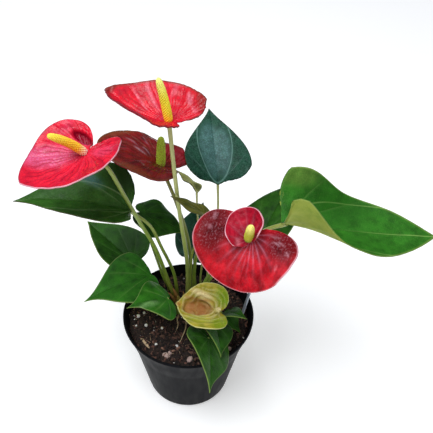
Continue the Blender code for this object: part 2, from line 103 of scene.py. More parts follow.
def linear(code: str) -> tuple[float, float, float, float]:
    """Turns an sRGB hex colour into the linear values that shaders take.

    Args:
        code: colour such as "#2E2F31"

    Returns:
        red, green, blue and alpha
    """
    channels = []
    for start in (1, 3, 5):
        value = int(code[start:start + 2], 16) / 255
        channels.append(value / 12.92 if value <= 0.04045 else ((value + 0.055) / 1.055) ** 2.4)
    return (*channels, 1.0)


def fill(tree: NodeTree, node: Node, inputs: dict) -> Node:
    """Links or sets a node's inputs.

    Args:
        tree: the tree that holds the node
        node: the node
        inputs: a value, or another node's output socket, for each input by name or number

    Returns:
        the node
    """
    for key, value in inputs.items():
        if isinstance(value, NodeSocket):
            tree.links.new(value, node.inputs[key])
        else:
            node.inputs[key].default_value = value
    return node


def add(tree: NodeTree, kind: str, inputs: dict | None = None, **settings: object) -> Node:
    """Adds a node with its settings, values and links.

    Args:
        tree: the node tree that gets it
        kind: Blender's name of the node's type
        inputs: a value, or another node's output socket, for each input by name or number
        settings: properties of the node itself

    Returns:
        the new node
    """
    node = tree.nodes.new(kind)
    for key, value in settings.items():
        setattr(node, key, value)
    return fill(tree, node, inputs or {})


def stack(tree: NodeTree, base: object, layers: list[tuple[NodeSocket, str]]) -> object:
    """Lays colours over a base, one after another.

    Args:
        tree: the material's node tree
        base: the lowest colour, as linear values or as a socket
        layers: socket with the share and sRGB hex colour of each layer

    Returns:
        socket with the colours on top of each other
    """
    for share, colour in layers:
        base = add(tree, "ShaderNodeMix", {MIX_SHARE: share, MIX_A: base, MIX_B: linear(colour)},
                   data_type="RGBA").outputs[MIX_OUT]
    return base


def toned_along(tree: NodeTree, tones: tuple[str, str, str], spans: tuple) -> NodeSocket:
    """Colours a swept piece from its foot to its top.

    Args:
        tree: the material's node tree
        tones: sRGB hex colours of foot, middle and top
        spans: shares of the length at which each change of tone starts and ends

    Returns:
        socket with the colour
    """
    along = add(tree, "ShaderNodeAttribute", attribute_name="along").outputs["Fac"]
    layers = []
    for (low, high), tone in zip(spans, tones[1:]):
        change = add(tree, "ShaderNodeMapRange", {"Value": along, "From Min": low, "From Max": high})
        layers.append((change.outputs["Result"], tone))
    return stack(tree, linear(tones[0]), layers)


def ease(t: np.ndarray) -> np.ndarray:
    """Smooth step of t between 0 and 1."""
    t = np.clip(t, 0, 1)
    return t * t * (3 - 2 * t)


@dataclass(frozen=True)
class Finish:
    """One real finish, whose material is made once and named for it."""

    name: str

    def look(self, tree: NodeTree) -> dict[str, object]:
        """Draws the finish.

        Args:
            tree: the material's node tree

        Returns:
            the value or socket of each shader input that it sets
        """
        raise NotImplementedError

    def material(self) -> Material:
        """Returns the finish's material, made at its first use."""
        made = bpy.data.materials.get(self.name)
        if made is None:
            made = bpy.data.materials.new(self.name)
            made.use_nodes = True
            tree = made.node_tree
            fill(tree, tree.nodes["Principled BSDF"], self.look(tree))
        return made


@dataclass(frozen=True)
class CuticleFinish(Finish):
    """Skin of a leaf or spathe: waxy cuticle over coloured cells, glossy above and dull below.

    deep and bright are the two tones of its mottle, and vein and rim colour those lines; a pale pink
    rim is a painted highlight on the rim. flush_and_highlight is the pale tone of the pleats close to
    the stem, partly their own and partly a painted highlight. stain_and_shade is the tone of its
    stains, which on some blades also paint shade in folds, in furrows and under other parts, and
    tint_and_sheen that of its tints, which on most blades are a painted sheen and painted highlights.
    mottle and grain are the sizes in mm of its clouds and of its net of cells. Real cells are too
    fine to show, so the net is drawn as coarse as it needs to. sheen_break is the share of a painted
    sheen patch that the net leaves, and glint that of the painted glints in its dark stains and shade.
    collective is the oval of the long side vein: its middle, half length and half width in mm.
    """

    deep: str
    bright: str
    vein: str
    rim: str
    flush_and_highlight: str = "#FFFFFF"
    flush_and_highlight_share: float = 0.0
    stain_and_shade: str = "#3A2412"
    tint_and_sheen: str = "#8FB0B0"
    vein_share: float = 0.75
    rim_share: float = 0.5
    rim_from: float = 0.97
    gloss: float = 0.12
    rough_low: float = 0.3
    rough_high: float = 0.46
    coat: float = 0.03
    mottle: float = 9.0
    grain: float = 1.1
    net: float = 0.06
    sheen_break: float = 0.4
    glint: float = 0.0
    speck_size: float = 1.2
    relief_depth: float = 0.3
    spread: float = 0.16
    collective: tuple[float, float, float] = (0.0, 0.0, 0.0)

    def look(self, tree: NodeTree) -> dict[str, object]:
        """Draws mottle, net, veins, pleats, patches, painted glints and margin, with painted sheen, highlight
        and shade.

        Args:
            tree: the material's node tree

        Returns:
            the value or socket of each shader input that it sets
        """
        flat = add(tree, "ShaderNodeUVMap", uv_map="flat").outputs["UV"]
        vein, reach, flush_and_highlight, stain_and_shade, tint_and_sheen = (
            add(tree, "ShaderNodeAttribute", attribute_name=mark).outputs["Fac"]
            for mark in ("vein", "reach", "flush_and_highlight", "stain_and_shade", "tint_and_sheen"))
        cloud, patches, fine = (
            add(tree, "ShaderNodeTexNoise", {"Vector": flat, "Scale": MAP_UNIT / size, "Detail": detail,
                                             "Roughness": rough}).outputs["Fac"]
            for size, detail, rough in ((self.mottle, 4.0, 0.6), (0.6 * self.mottle, 3.0, 0.5),
                                        (2.4 * self.grain, 4.0, 0.65)))
        cells = add(tree, "ShaderNodeTexVoronoi", {"Vector": flat, "Scale": MAP_UNIT / self.grain},
                    feature="DISTANCE_TO_EDGE").outputs["Distance"]
        tone, net, patchy, broken, hem, rough = (
            add(tree, "ShaderNodeMapRange", dict(zip(RANGE, row))).outputs["Result"]
            for row in ((cloud, 0.5 - self.spread, 0.5 + self.spread, 0.0, 1.0),
                        (cells, 0.0, 0.12, self.net, 0.0),
                        (cloud, 0.3, 0.6, 0.55, 1.0),
                        (cells, 0.0, 0.16, self.sheen_break, 1.0),
                        (reach, self.rim_from, 1.0, 0.0, self.rim_share),
                        (patches, 0.35, 0.65, self.rough_low, self.rough_high)))
        veined, flush_and_highlight_amount, streaky, stain_and_shade_share = (
            add(tree, "ShaderNodeMath", {0: a, 1: b}, operation="MULTIPLY").outputs[0]
            for a, b in ((vein, self.vein_share), (flush_and_highlight, self.flush_and_highlight_share), (patchy, broken),
                         (stain_and_shade, patchy)))
        tint_and_sheen_share = add(tree, "ShaderNodeMath", {0: tint_and_sheen, 1: streaky}, operation="MULTIPLY").outputs[0]
        # The pale tone by the stem is partly painted highlight, the stains also paint shade and the tints
        # paint sheen
        layers = [(tone, self.bright), (net, self.vein), (veined, self.vein), (flush_and_highlight_amount, self.flush_and_highlight)]
        if self.collective[1]:
            layers.append((self.collective_line(tree, flat), self.vein))
        layers += [(stain_and_shade_share, self.stain_and_shade), (tint_and_sheen_share, self.tint_and_sheen)]
        # Painted glints: light specks in the sheen colour over the dark patches
        if self.glint:
            layers.append((self.specks(tree, flat, stain_and_shade), self.tint_and_sheen))
        # The hem is the margin's own tone, and on pale pink margins a painted highlight on the rim
        layers.append((hem, self.rim))
        grainy = add(tree, "ShaderNodeMath", {0: fine, 1: cells}, operation="ADD").outputs[0]
        bump = add(tree, "ShaderNodeBump",
                   {"Strength": 0.8, "Distance": self.relief_depth * MM, "Height": grainy}).outputs["Normal"]
        return {"Base Color": stack(tree, linear(self.deep), layers), "Roughness": rough, "IOR": 1.45,
                "Specular IOR Level": self.gloss, "Coat Weight": self.coat, "Coat Roughness": 0.16,
                "Normal": bump, "Coat Normal": bump}

    def collective_line(self, tree: NodeTree, flat: NodeSocket) -> NodeSocket:
        """Draws the long side vein as an oval line on the flat blade, which fades toward the tip.

        Args:
            tree: the material's node tree
            flat: socket with the flat map

        Returns:
            socket with the share of the vein's colour
        """
        middle, long, wide = self.collective
        oval = add(tree, "ShaderNodeMapping",
                   {"Vector": flat, "Scale": (MAP_UNIT / long, MAP_UNIT / wide, 1.0),
                    "Location": (-(MAP_UNIT + middle) / long, -MAP_UNIT / wide, 0.0)}).outputs["Vector"]
        reach = add(tree, "ShaderNodeVectorMath", {0: oval}, operation="LENGTH").outputs["Value"]
        off = add(tree, "ShaderNodeMath", {0: reach, 1: 1.0}, operation="SUBTRACT").outputs[0]
        away = add(tree, "ShaderNodeMath", {0: off}, operation="ABSOLUTE").outputs[0]
        along = add(tree, "ShaderNodeSeparateXYZ", {"Vector": oval}).outputs["X"]
        line, fading = (add(tree, "ShaderNodeMapRange", dict(zip(RANGE, row))).outputs["Result"]
                        for row in ((away, 0.05 / wide, 0.6 / wide, 0.38, 0.0), (along, 0.3, 0.9, 1.0, 0.0)))
        return add(tree, "ShaderNodeMath", {0: line, 1: fading}, operation="MULTIPLY").outputs[0]

    def specks(self, tree: NodeTree, flat: NodeSocket, stain_and_shade: NodeSocket) -> NodeSocket:
        """Draws painted glints on the cuticle, mostly where its stains and painted shade make it dark.

        Args:
            tree: the material's node tree
            flat: socket with the flat map
            stain_and_shade: socket with the share of the stains and painted shade

        Returns:
            socket with the share of the painted glints' colour
        """
        dots = add(tree, "ShaderNodeTexNoise",
                   {"Vector": flat, "Scale": MAP_UNIT / self.speck_size, "Detail": 3.0}).outputs["Fac"]
        light, dark = (add(tree, "ShaderNodeMapRange", dict(zip(RANGE, row))).outputs["Result"]
                       for row in ((dots, 0.52, 0.78, 0.0, self.glint), (stain_and_shade, 0.2, 0.9, 0.1, 1.0)))
        return add(tree, "ShaderNodeMath", {0: light, 1: dark}, operation="MULTIPLY").outputs[0]


@dataclass(frozen=True)
class SpadixFinish(Finish):
    """Skin of a spadix: tight rows of waxy florets, whose colour turns from foot to tip as they open."""

    foot: str
    middle: str
    tip: str
    # Colour of the core between the florets: painted shade in the clefts
    cleft_shade: str
    speck: str
    speck_share: float = 0.2
    speck_size: float = 0.9

    def look(self, tree: NodeTree) -> dict[str, object]:
        """Draws the tones, painted shade in the clefts between the florets, and their specks.

        Args:
            tree: the material's node tree

        Returns:
            the value or socket of each shader input that it sets
        """
        place = add(tree, "ShaderNodeTexCoord").outputs["Object"]
        raised = add(tree, "ShaderNodeAttribute", attribute_name="raised").outputs["Fac"]
        tones = toned_along(tree, (self.foot, self.middle, self.tip), ((0.02, 0.26), (0.55, 0.95)))
        # Where no floret covers the core, the painted cleft shade shows
        with_cleft_shade = add(tree, "ShaderNodeMix", {MIX_SHARE: raised, MIX_A: linear(self.cleft_shade), MIX_B: tones},
                   data_type="RGBA").outputs[MIX_OUT]
        speck = add(tree, "ShaderNodeTexNoise",
                    {"Vector": place, "Scale": 1 / (self.speck_size * MM), "Detail": 2.0}).outputs["Fac"]
        share = add(tree, "ShaderNodeMapRange", {"Value": speck, "From Min": 0.52, "From Max": 0.66,
                                                 "To Max": self.speck_share}).outputs["Result"]
        bump = add(tree, "ShaderNodeBump", {"Strength": 0.5, "Distance": 0.2 * MM, "Height": speck})
        return {"Base Color": stack(tree, with_cleft_shade, [(share, self.speck)]), "Roughness": 0.5,
                "Normal": bump.outputs["Normal"]}


@dataclass(frozen=True)
class StalkFinish(Finish):
    """Skin of a stem: smooth satin rind with faint length-wise fibres, tanned at the foot.

    fibre is their spacing in mm, drawn as coarse as it needs to show.
    """

    foot: str
    middle: str
    top: str
    fibre: float = 0.7

    def look(self, tree: NodeTree) -> dict[str, object]:
        """Draws the tones along the stem and its fibres.

        Args:
            tree: the material's node tree

        Returns:
            the value or socket of each shader input that it sets
        """
        place = add(tree, "ShaderNodeTexCoord").outputs["Object"]
        drawn = add(tree, "ShaderNodeMapping", {"Vector": place, "Scale": (1.0, 1.0, 0.08)}).outputs["Vector"]
        fibre = add(tree, "ShaderNodeTexNoise",
                    {"Vector": drawn, "Scale": 1 / (self.fibre * MM), "Detail": 3.0}).outputs["Fac"]
        share = add(tree, "ShaderNodeMapRange", {"Value": fibre, "From Min": 0.42, "From Max": 0.7,
                                                 "To Max": 0.4}).outputs["Result"]
        tones = toned_along(tree, (self.foot, self.middle, self.top), ((0.08, 0.3), (0.45, 1.0)))
        bump = add(tree, "ShaderNodeBump", {"Strength": 0.4, "Distance": 0.15 * MM, "Height": fibre})
        return {"Base Color": stack(tree, tones, [(share, self.foot)]), "Roughness": 0.4, "Coat Weight": 0.15,
                "Normal": bump.outputs["Normal"]}


@dataclass(frozen=True)
class MouldedPotFinish(Finish):
    """Charcoal polypropylene, injection moulded: even satin black-grey with faint flow marks and dust.

    dust_size is in mm, coarser than real dust so that it shows.
    """

    name: str = "moulded_polypropylene_charcoal"
    body: str = "#0F1012"
    worn: str = "#17181C"
    dust: str = "#5E584F"
    flow_size: float = 6.0
    dust_size: float = 0.9

    def look(self, tree: NodeTree) -> dict[str, object]:
        """Draws the upright flow marks and the dust.

        Args:
            tree: the material's node tree

        Returns:
            the value or socket of each shader input that it sets
        """
        place = add(tree, "ShaderNodeTexCoord").outputs["Object"]
        drawn = add(tree, "ShaderNodeMapping", {"Vector": place, "Scale": (1.0, 1.0, 0.12)}).outputs["Vector"]
        flow, specks = (
            add(tree, "ShaderNodeTexNoise", {"Vector": where, "Scale": 1 / (size * MM), "Detail": detail,
                                             "Roughness": rough}).outputs["Fac"]
            for where, size, detail, rough in ((drawn, self.flow_size, 4.0, 0.5),
                                               (place, self.dust_size, 5.0, 0.7)))
        worn, dusty, rough = (add(tree, "ShaderNodeMapRange", dict(zip(RANGE, row))).outputs["Result"]
                              for row in ((flow, 0.35, 0.75, 0.0, 0.7), (specks, 0.62, 0.8, 0.0, 0.2),
                                          (flow, 0.3, 0.7, 0.36, 0.52)))
        bump = add(tree, "ShaderNodeBump", {"Strength": 0.25, "Distance": 0.12 * MM, "Height": specks})
        return {"Base Color": stack(tree, linear(self.body), [(worn, self.worn), (dusty, self.dust)]),
                "Roughness": rough, "IOR": 1.49, "Specular IOR Level": 0.03, "Normal": bump.outputs["Normal"]}


@dataclass(frozen=True)
class CrumbFinish(Finish):
    """Loose stuff of the potting mix: each crumb has its own tone, with a rough and broken skin."""

    dark: str
    light: str
    fleck: str
    grain: float = 1.2

    def look(self, tree: NodeTree) -> dict[str, object]:
        """Draws each crumb's tone and its flecks.

        Args:
            tree: the material's node tree

        Returns:
            the value or socket of each shader input that it sets
        """
        place = add(tree, "ShaderNodeTexCoord").outputs["Object"]
        tone = add(tree, "ShaderNodeAttribute", attribute_name="tone").outputs["Fac"]
        rubble = add(tree, "ShaderNodeTexNoise",
                     {"Vector": place, "Scale": 1 / (self.grain * MM), "Detail": 5.0,
                      "Roughness": 0.7}).outputs["Fac"]
        share = add(tree, "ShaderNodeMapRange", {"Value": rubble, "From Min": 0.5, "From Max": 0.75,
                                                 "To Max": 0.8}).outputs["Result"]
        bump = add(tree, "ShaderNodeBump", {"Strength": 0.8, "Distance": 0.5 * MM, "Height": rubble})
        return {"Base Color": stack(tree, linear(self.dark), [(tone, self.light), (share, self.fleck)]),
                "Roughness": 0.9, "Normal": bump.outputs["Normal"]}


@dataclass(frozen=True)
class LabelFinish(Finish):
    """Plain polystyrene plant label: cool white sheet, slightly glossy, scuffed by peat."""

    name: str = "polystyrene_label_white"
    body: str = "#C6D0DE"
    scuff: str = "#8E93A0"
    scuff_size: float = 1.5

    def look(self, tree: NodeTree) -> dict[str, object]:
        """Draws the scuffs along the sheet.

        Args:
            tree: the material's node tree

        Returns:
            the value or socket of each shader input that it sets
        """
        place = add(tree, "ShaderNodeTexCoord").outputs["Object"]
        drawn = add(tree, "ShaderNodeMapping", {"Vector": place, "Scale": (1.0, 1.0, 0.2)}).outputs["Vector"]
        rub = add(tree, "ShaderNodeTexNoise",
                  {"Vector": drawn, "Scale": 1 / (self.scuff_size * MM), "Detail": 4.0}).outputs["Fac"]
        share = add(tree, "ShaderNodeMapRange",
                    {"Value": rub, "From Min": 0.5, "From Max": 0.8}).outputs["Result"]
        bump = add(tree, "ShaderNodeBump", {"Strength": 0.2, "Distance": 0.1 * MM, "Height": rub})
        return {"Base Color": stack(tree, linear(self.body), [(share, self.scuff)]), "Roughness": 0.32,
                "IOR": 1.55, "Normal": bump.outputs["Normal"]}


@dataclass(frozen=True)
class FloorFinish(Finish):
    """Matt white studio paper, lit a little from within so that it reads as the photograph's white."""

    name: str = "studio_floor_paper"

    def look(self, tree: NodeTree) -> dict[str, object]:
        """Returns the paper's even values."""
        return {"Base Color": linear("#F6F6F4"), "Roughness": 0.9, "Specular IOR Level": 0.0,
                "Emission Color": linear("#FFFFFF"), "Emission Strength": 0.3}


@dataclass(frozen=True)
class BladeShape:
    """Outline and bends of one blade in mm and degrees, the same values as in the part's source.

    x, y and z are the point where its stem meets it, and heading, pitch and roll turn it there.
    widest, lobe, sinus and tip are shares of its length: where it is widest, how far the lobes and
    the sinus reach behind the stem, and how early the tip draws in. skew makes the left lobe longer
    and the right one shorter. notch and tipw are shares of its width: how far the lobes part, and
    how full the tip is. arch bends the tip down and back bends the lobes up. fold and fold_tip raise
    both halves, at the stem and at the tip, lift_l and lift_r raise one half more, curl bends them
    up toward their rims and twist turns the tip about the midrib. wave is the height of the waves
    and pocket the depth of the pocket in mm, waves counts the waves and phase shifts them.
    """

    x: float
    y: float
    z: float
    length: float = 60
    width: float = 50
    widest: float = 0.18
    lobe: float = 0.2
    skew: float = 0.0
    sinus: float = 0.03
    notch: float = 0.1
    tip: float = 0.25
    tipw: float = 0.1
    arch: float = 15
    back: float = 0
    fold: float = 10
    fold_tip: float = 5
    curl: float = 0
    lift_l: float = 0
    lift_r: float = 0
    twist: float = 0
    wave: float = 0
    waves: float = 1.4
    phase: float = 0
    pocket: float = 0
    heading: float = 0
    pitch: float = 0
    roll: float = 0

    @property
    def joint(self) -> np.ndarray:
        """Point where the stem meets the blade."""
        return np.array([self.x, self.y, self.z], float)

    def half_outline(self, side: int) -> np.ndarray:
        """Flat outline of one half, from the sinus round the lobe to the tip.

        Args:
            side: 1 for the left half and -1 for the right

        Returns:
            points in mm, one row each
        """
        length, half = self.length, self.width / 2
        wide = self.widest * length
        lobe = max(self.lobe + side * self.skew, 0.0) * length
        sinus = self.sinus * length
        back = bezier([(-sinus, 0), (-sinus - 1.75 * max(lobe - sinus, 0), self.notch * self.width),
                       (-1.1 * lobe + 0.25 * wide, half), (wide, half)], OUTLINE_STEPS)
        front = bezier([(wide, half), (wide + 0.42 * (length - wide), half),
                        (length - self.tip * length, self.tipw * self.width), (length, 0)], OUTLINE_STEPS)
        return np.vstack([back, front[1:]]) * [1, side]

    def section(self, x: np.ndarray, y: np.ndarray) -> tuple[np.ndarray, np.ndarray]:
        """Folds, curls and waves the two halves about the midrib and sinks the pocket.

        Args:
            x: place of each flat point along the midrib, in mm
            y: its place across the midrib, in mm

        Returns:
            place across and height of each point
        """
        length, half = self.length, self.width / 2
        across, side = np.abs(y), np.where(y >= 0, 1.0, -1.0)
        lobe = self.lobe * length
        along = ease((x + lobe) / (FOLD_REACH * length + lobe))
        lift = np.where(side > 0, self.lift_l, self.lift_r)
        fold = np.radians((self.fold + lift) * (1 - along) + self.fold_tip * along)
        curl = math.radians(self.curl + LEAST_CURL)
        q = across / half
        radius = half / curl
        level = radius * (np.sin(fold + curl * q) - np.sin(fold)) * side
        rise = radius * (np.cos(fold) - np.cos(fold + curl * q))
        turn = 2 * math.pi * self.waves * x / length + math.radians(self.phase)
        turn = turn + np.where(side > 0, 0, WAVE_LAG)
        rise = rise + self.wave * np.minimum(q, WAVE_REACH) ** 2 * np.sin(turn)
        off = (((x - POCKET_AT * length) / (POCKET_LONG * length)) ** 2
               + (y / (POCKET_WIDE * self.width)) ** 2)
        return level, rise - self.pocket * np.exp(-off ** 2)

    def spine(self, x: np.ndarray) -> tuple[np.ndarray, np.ndarray, np.ndarray]:
        """Arches the midrib.

        Args:
            x: places along the flat midrib, in mm

        Returns:
            place along, height and lean of the midrib at each of them
        """
        reach = max(self.lobe * self.length, 1)
        line = np.linspace(-1.2 * reach, self.length, SPINE_STEPS)
        slope = np.where(line >= 0, -math.radians(self.arch) * line / self.length,
                         math.radians(self.back) * line / reach)
        step = np.gradient(line)
        run, fall = np.cumsum(np.cos(slope) * step), np.cumsum(np.sin(slope) * step)
        run, fall = run - np.interp(0, line, run), fall - np.interp(0, line, fall)
        return np.interp(x, line, run), np.interp(x, line, fall), np.interp(x, line, slope)

    def bend(self, flat: np.ndarray) -> np.ndarray:
        """Folds, curls, waves, arches and twists flat points.

        Args:
            flat: points on the flat blade in mm

        Returns:
            points in space, before the blade is turned to its place
        """
        x, y = flat[:, 0], flat[:, 1]
        level, rise = self.section(x, y)
        run, fall, lean = self.spine(x)
        twist = math.radians(self.twist) * np.clip(x / self.length, -0.3, 1)
        out = level * np.cos(twist) - rise * np.sin(twist)
        up = level * np.sin(twist) + rise * np.cos(twist)
        return np.stack([run - np.sin(lean) * up, out, fall + np.cos(lean) * up], -1)

    def turned(self) -> np.ndarray:
        """Rotation of the blade: roll about its midrib, then pitch, then heading."""
        h, p, r = (math.radians(angle) for angle in (self.heading, self.pitch, self.roll))
        about_z = np.array([[math.cos(h), -math.sin(h), 0], [math.sin(h), math.cos(h), 0], [0, 0, 1]])
        about_y = np.array([[math.cos(p), 0, -math.sin(p)], [0, 1, 0], [math.sin(p), 0, math.cos(p)]])
        about_x = np.array([[1, 0, 0], [0, math.cos(r), -math.sin(r)], [0, math.sin(r), math.cos(r)]])
        return about_z @ about_y @ about_x

    def placed(self, flat: np.ndarray) -> np.ndarray:
        """Flat points bent, turned and put in place, in mm."""
        return self.bend(flat) @ self.turned().T + self.joint


def bezier(points: list[tuple[float, float]], count: int) -> np.ndarray:
    """Samples a cubic curve.

    Args:
        points: its four control points
        count: number of steps

    Returns:
        count + 1 points
    """
    t = np.linspace(0, 1, count + 1)[:, None]
    a, b, c, d = (np.array(point, float) for point in points)
    return (1 - t) ** 3 * a + 3 * (1 - t) ** 2 * t * b + 3 * (1 - t) * t * t * c + t ** 3 * d


def curve_through(points: list, spacing: float) -> np.ndarray:
    """Smooth line through points.

    Args:
        points: the points in mm
        spacing: rough distance between two samples

    Returns:
        the samples, one row each
    """
    p = np.array(points, float)
    p = np.vstack([2 * p[0] - p[1], p, 2 * p[-1] - p[-2]])
    out = []
    for i in range(1, len(p) - 2):
        a, b, c, d = p[i - 1:i + 3]
        n = max(1, round(float(np.linalg.norm(c - b)) / spacing))
        for t in np.arange(n) / n:
            out.append(0.5 * (2 * b + (c - a) * t + (2 * a - 5 * b + 4 * c - d) * t * t
                              + (3 * b - a - 3 * c + d) * t ** 3))
    out.append(p[-2])
    return np.array(out)


def run_along(path: np.ndarray) -> np.ndarray:
    """Length of a line up to each of its points."""
    return np.concatenate([[0], np.cumsum(np.linalg.norm(np.diff(path, axis=0), axis=1))])


def ring(radius: float, z: float, count: int, x: float = 0.0,
         y: float = 0.0) -> list[tuple[float, float, float]]:
    """Points round an upright axis.

    Args:
        radius: radius in mm
        z: height in mm
        count: number of points
        x: place of the axis in mm
        y: place of the axis in mm

    Returns:
        the points
    """
    turns = [2 * math.pi * k / count for k in range(count)]
    return [(x + radius * math.cos(turn), y + radius * math.sin(turn), z) for turn in turns]


def set_marks(mesh: Mesh, marks: dict[str, np.ndarray]) -> None:
    """Stores a number for each point of a mesh, by attribute name."""
    for key, values in marks.items():
        mesh.attributes.new(key, "FLOAT", "POINT").data.foreach_set("value", np.asarray(values, np.float32))


def mesh_of(name: str, verts: np.ndarray, faces: list, edges: list | None = None,
            marks: dict[str, np.ndarray] | None = None) -> Mesh:
    """Makes a mesh from points in mm.

    Args:
        name: name of the mesh
        verts: points, one row each
        faces: corner numbers of each face
        edges: ends of each loose edge
        marks: a number for each point, by attribute name

    Returns:
        the mesh, in metres
    """
    mesh = bpy.data.meshes.new(name)
    mesh.from_pydata([tuple(float(c) * MM for c in v) for v in verts], edges or [], faces)
    set_marks(mesh, marks or {})
    mesh.polygons.foreach_set("use_smooth", [True] * len(mesh.polygons))
    return mesh


def path_mesh(name: str, path: np.ndarray, thick: np.ndarray) -> Mesh:
    """Makes the line that a tree sweeps.

    Args:
        name: name of the piece
        path: points in mm, one row each
        thick: radius in mm at each point

    Returns:
        the line's mesh
    """
    edges = [(i, i + 1) for i in range(len(path) - 1)]
    return mesh_of(f"{name}_path", path, [], edges, {"thickness": thick * MM})


def face_outward(mesh: Mesh) -> None:
    """Turns the faces of a closed mesh outwards.

    Args:
        mesh: the mesh, which is changed in place
    """
    work = bmesh.new()
    work.from_mesh(mesh)
    bmesh.ops.recalc_face_normals(work, faces=work.faces)
    work.to_mesh(mesh)
    work.free()


def show(name: str, mesh: Mesh) -> Object:
    """Adds an object that shows a mesh."""
    piece = bpy.data.objects.new(name, mesh)
    bpy.context.scene.collection.objects.link(piece)
    return piece


def settle(piece: Object, slot: str, *nodes: str) -> Object:
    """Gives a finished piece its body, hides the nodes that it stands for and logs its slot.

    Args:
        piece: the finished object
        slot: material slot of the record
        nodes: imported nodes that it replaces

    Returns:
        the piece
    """
    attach(piece, BODY)
    if nodes:
        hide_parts(*nodes)
    LOG.info("%s: %d faces, slot %s", piece.name, len(piece.data.polygons), slot)
    return piece


def tree_with(name: str, inputs: dict[str, str]) -> tuple[NodeTree, Node]:
    """Starts a Geometry Nodes tree.

    Args:
        name: name of the tree
        inputs: socket type of each named input

    Returns:
        the tree and its input node
    """
    tree = bpy.data.node_groups.new(name, "GeometryNodeTree")
    for title, kind in inputs.items():
        tree.interface.new_socket(title, in_out="INPUT", socket_type=f"NodeSocket{kind}")
    tree.interface.new_socket("Geometry", in_out="OUTPUT", socket_type="NodeSocketGeometry")
    return tree, add(tree, "NodeGroupInput")


def finish_tree(tree: NodeTree, grown: NodeSocket, given: Node) -> None:
    """Ends a tree with smooth shading, real instances and its material.

    Args:
        tree: the tree
        grown: socket with the geometry
        given: the tree's input node, which has a Finish
    """
    real = add(tree, "GeometryNodeRealizeInstances", {"Geometry": grown})
    smooth = add(tree, "GeometryNodeSetShadeSmooth", {"Geometry": real.outputs["Geometry"]})
    dressed = add(tree, "GeometryNodeSetMaterial", {"Geometry": smooth.outputs["Geometry"],
                                                    "Material": given.outputs["Finish"]})
    add(tree, "NodeGroupOutput", {"Geometry": dressed.outputs["Geometry"]})


def grow(name: str, source: Mesh, tree: NodeTree, values: dict[str, object]) -> Mesh:
    """Runs a Geometry Nodes tree on a mesh and keeps the plain result.

    Args:
        name: name of the new mesh
        source: mesh that the tree starts from
        tree: the tree
        values: value of each named input

    Returns:
        the new mesh, closed and facing outwards
    """
    carrier = show(f"{name}_source", source)
    growth = carrier.modifiers.new("Growth", "NODES")
    growth.node_group = tree
    for socket in tree.interface.items_tree:
        if socket.item_type == "SOCKET" and socket.in_out == "INPUT" and socket.name in values:
            growth[socket.identifier] = values[socket.name]
    bpy.context.view_layer.update()
    depsgraph = bpy.context.evaluated_depsgraph_get()
    mesh = bpy.data.meshes.new_from_object(carrier.evaluated_get(depsgraph), preserve_all_data_layers=True,
                                           depsgraph=depsgraph)
    mesh.name = name
    carrier.modifiers.remove(growth)
    bpy.data.objects.remove(carrier, do_unlink=True)
    face_outward(mesh)
    return mesh


def sweep(tree: NodeTree, path: NodeSocket, sides: object) -> tuple:
    """Sweeps a round section along a line of points, each with its own thickness.

    Args:
        tree: the Geometry Nodes tree
        path: socket with the line
        sides: number of sides, or a socket with it

    Returns:
        sockets with the curve, the thickness and the swept body
    """
    curve = add(tree, "GeometryNodeMeshToCurve", {"Mesh": path}).outputs["Curve"]
    share = add(tree, "GeometryNodeSplineParameter").outputs["Factor"]
    marked = add(tree, "GeometryNodeStoreNamedAttribute",
                 {"Geometry": curve, "Name": "along", "Value": share},
                 data_type="FLOAT", domain="POINT").outputs["Geometry"]
    thick = add(tree, "GeometryNodeInputNamedAttribute", {"Name": "thickness"}, data_type="FLOAT")
    section = add(tree, "GeometryNodeCurvePrimitiveCircle", {"Resolution": sides, "Radius": 1.0})
    body = add(tree, "GeometryNodeCurveToMesh",
               {"Curve": marked, "Profile Curve": section.outputs["Curve"],
                "Scale": thick.outputs["Attribute"], "Fill Caps": True})
    return curve, thick.outputs["Attribute"], body.outputs["Mesh"]


def tube_tree() -> NodeTree:
    """Tree that sweeps a stem or a root along its line."""
    tree, given = tree_with("tube along path", {"Path": "Geometry", "Sides": "Int", "Finish": "Material"})
    body = sweep(tree, given.outputs["Path"], given.outputs["Sides"])[-1]
    finish_tree(tree, body, given)
    return tree


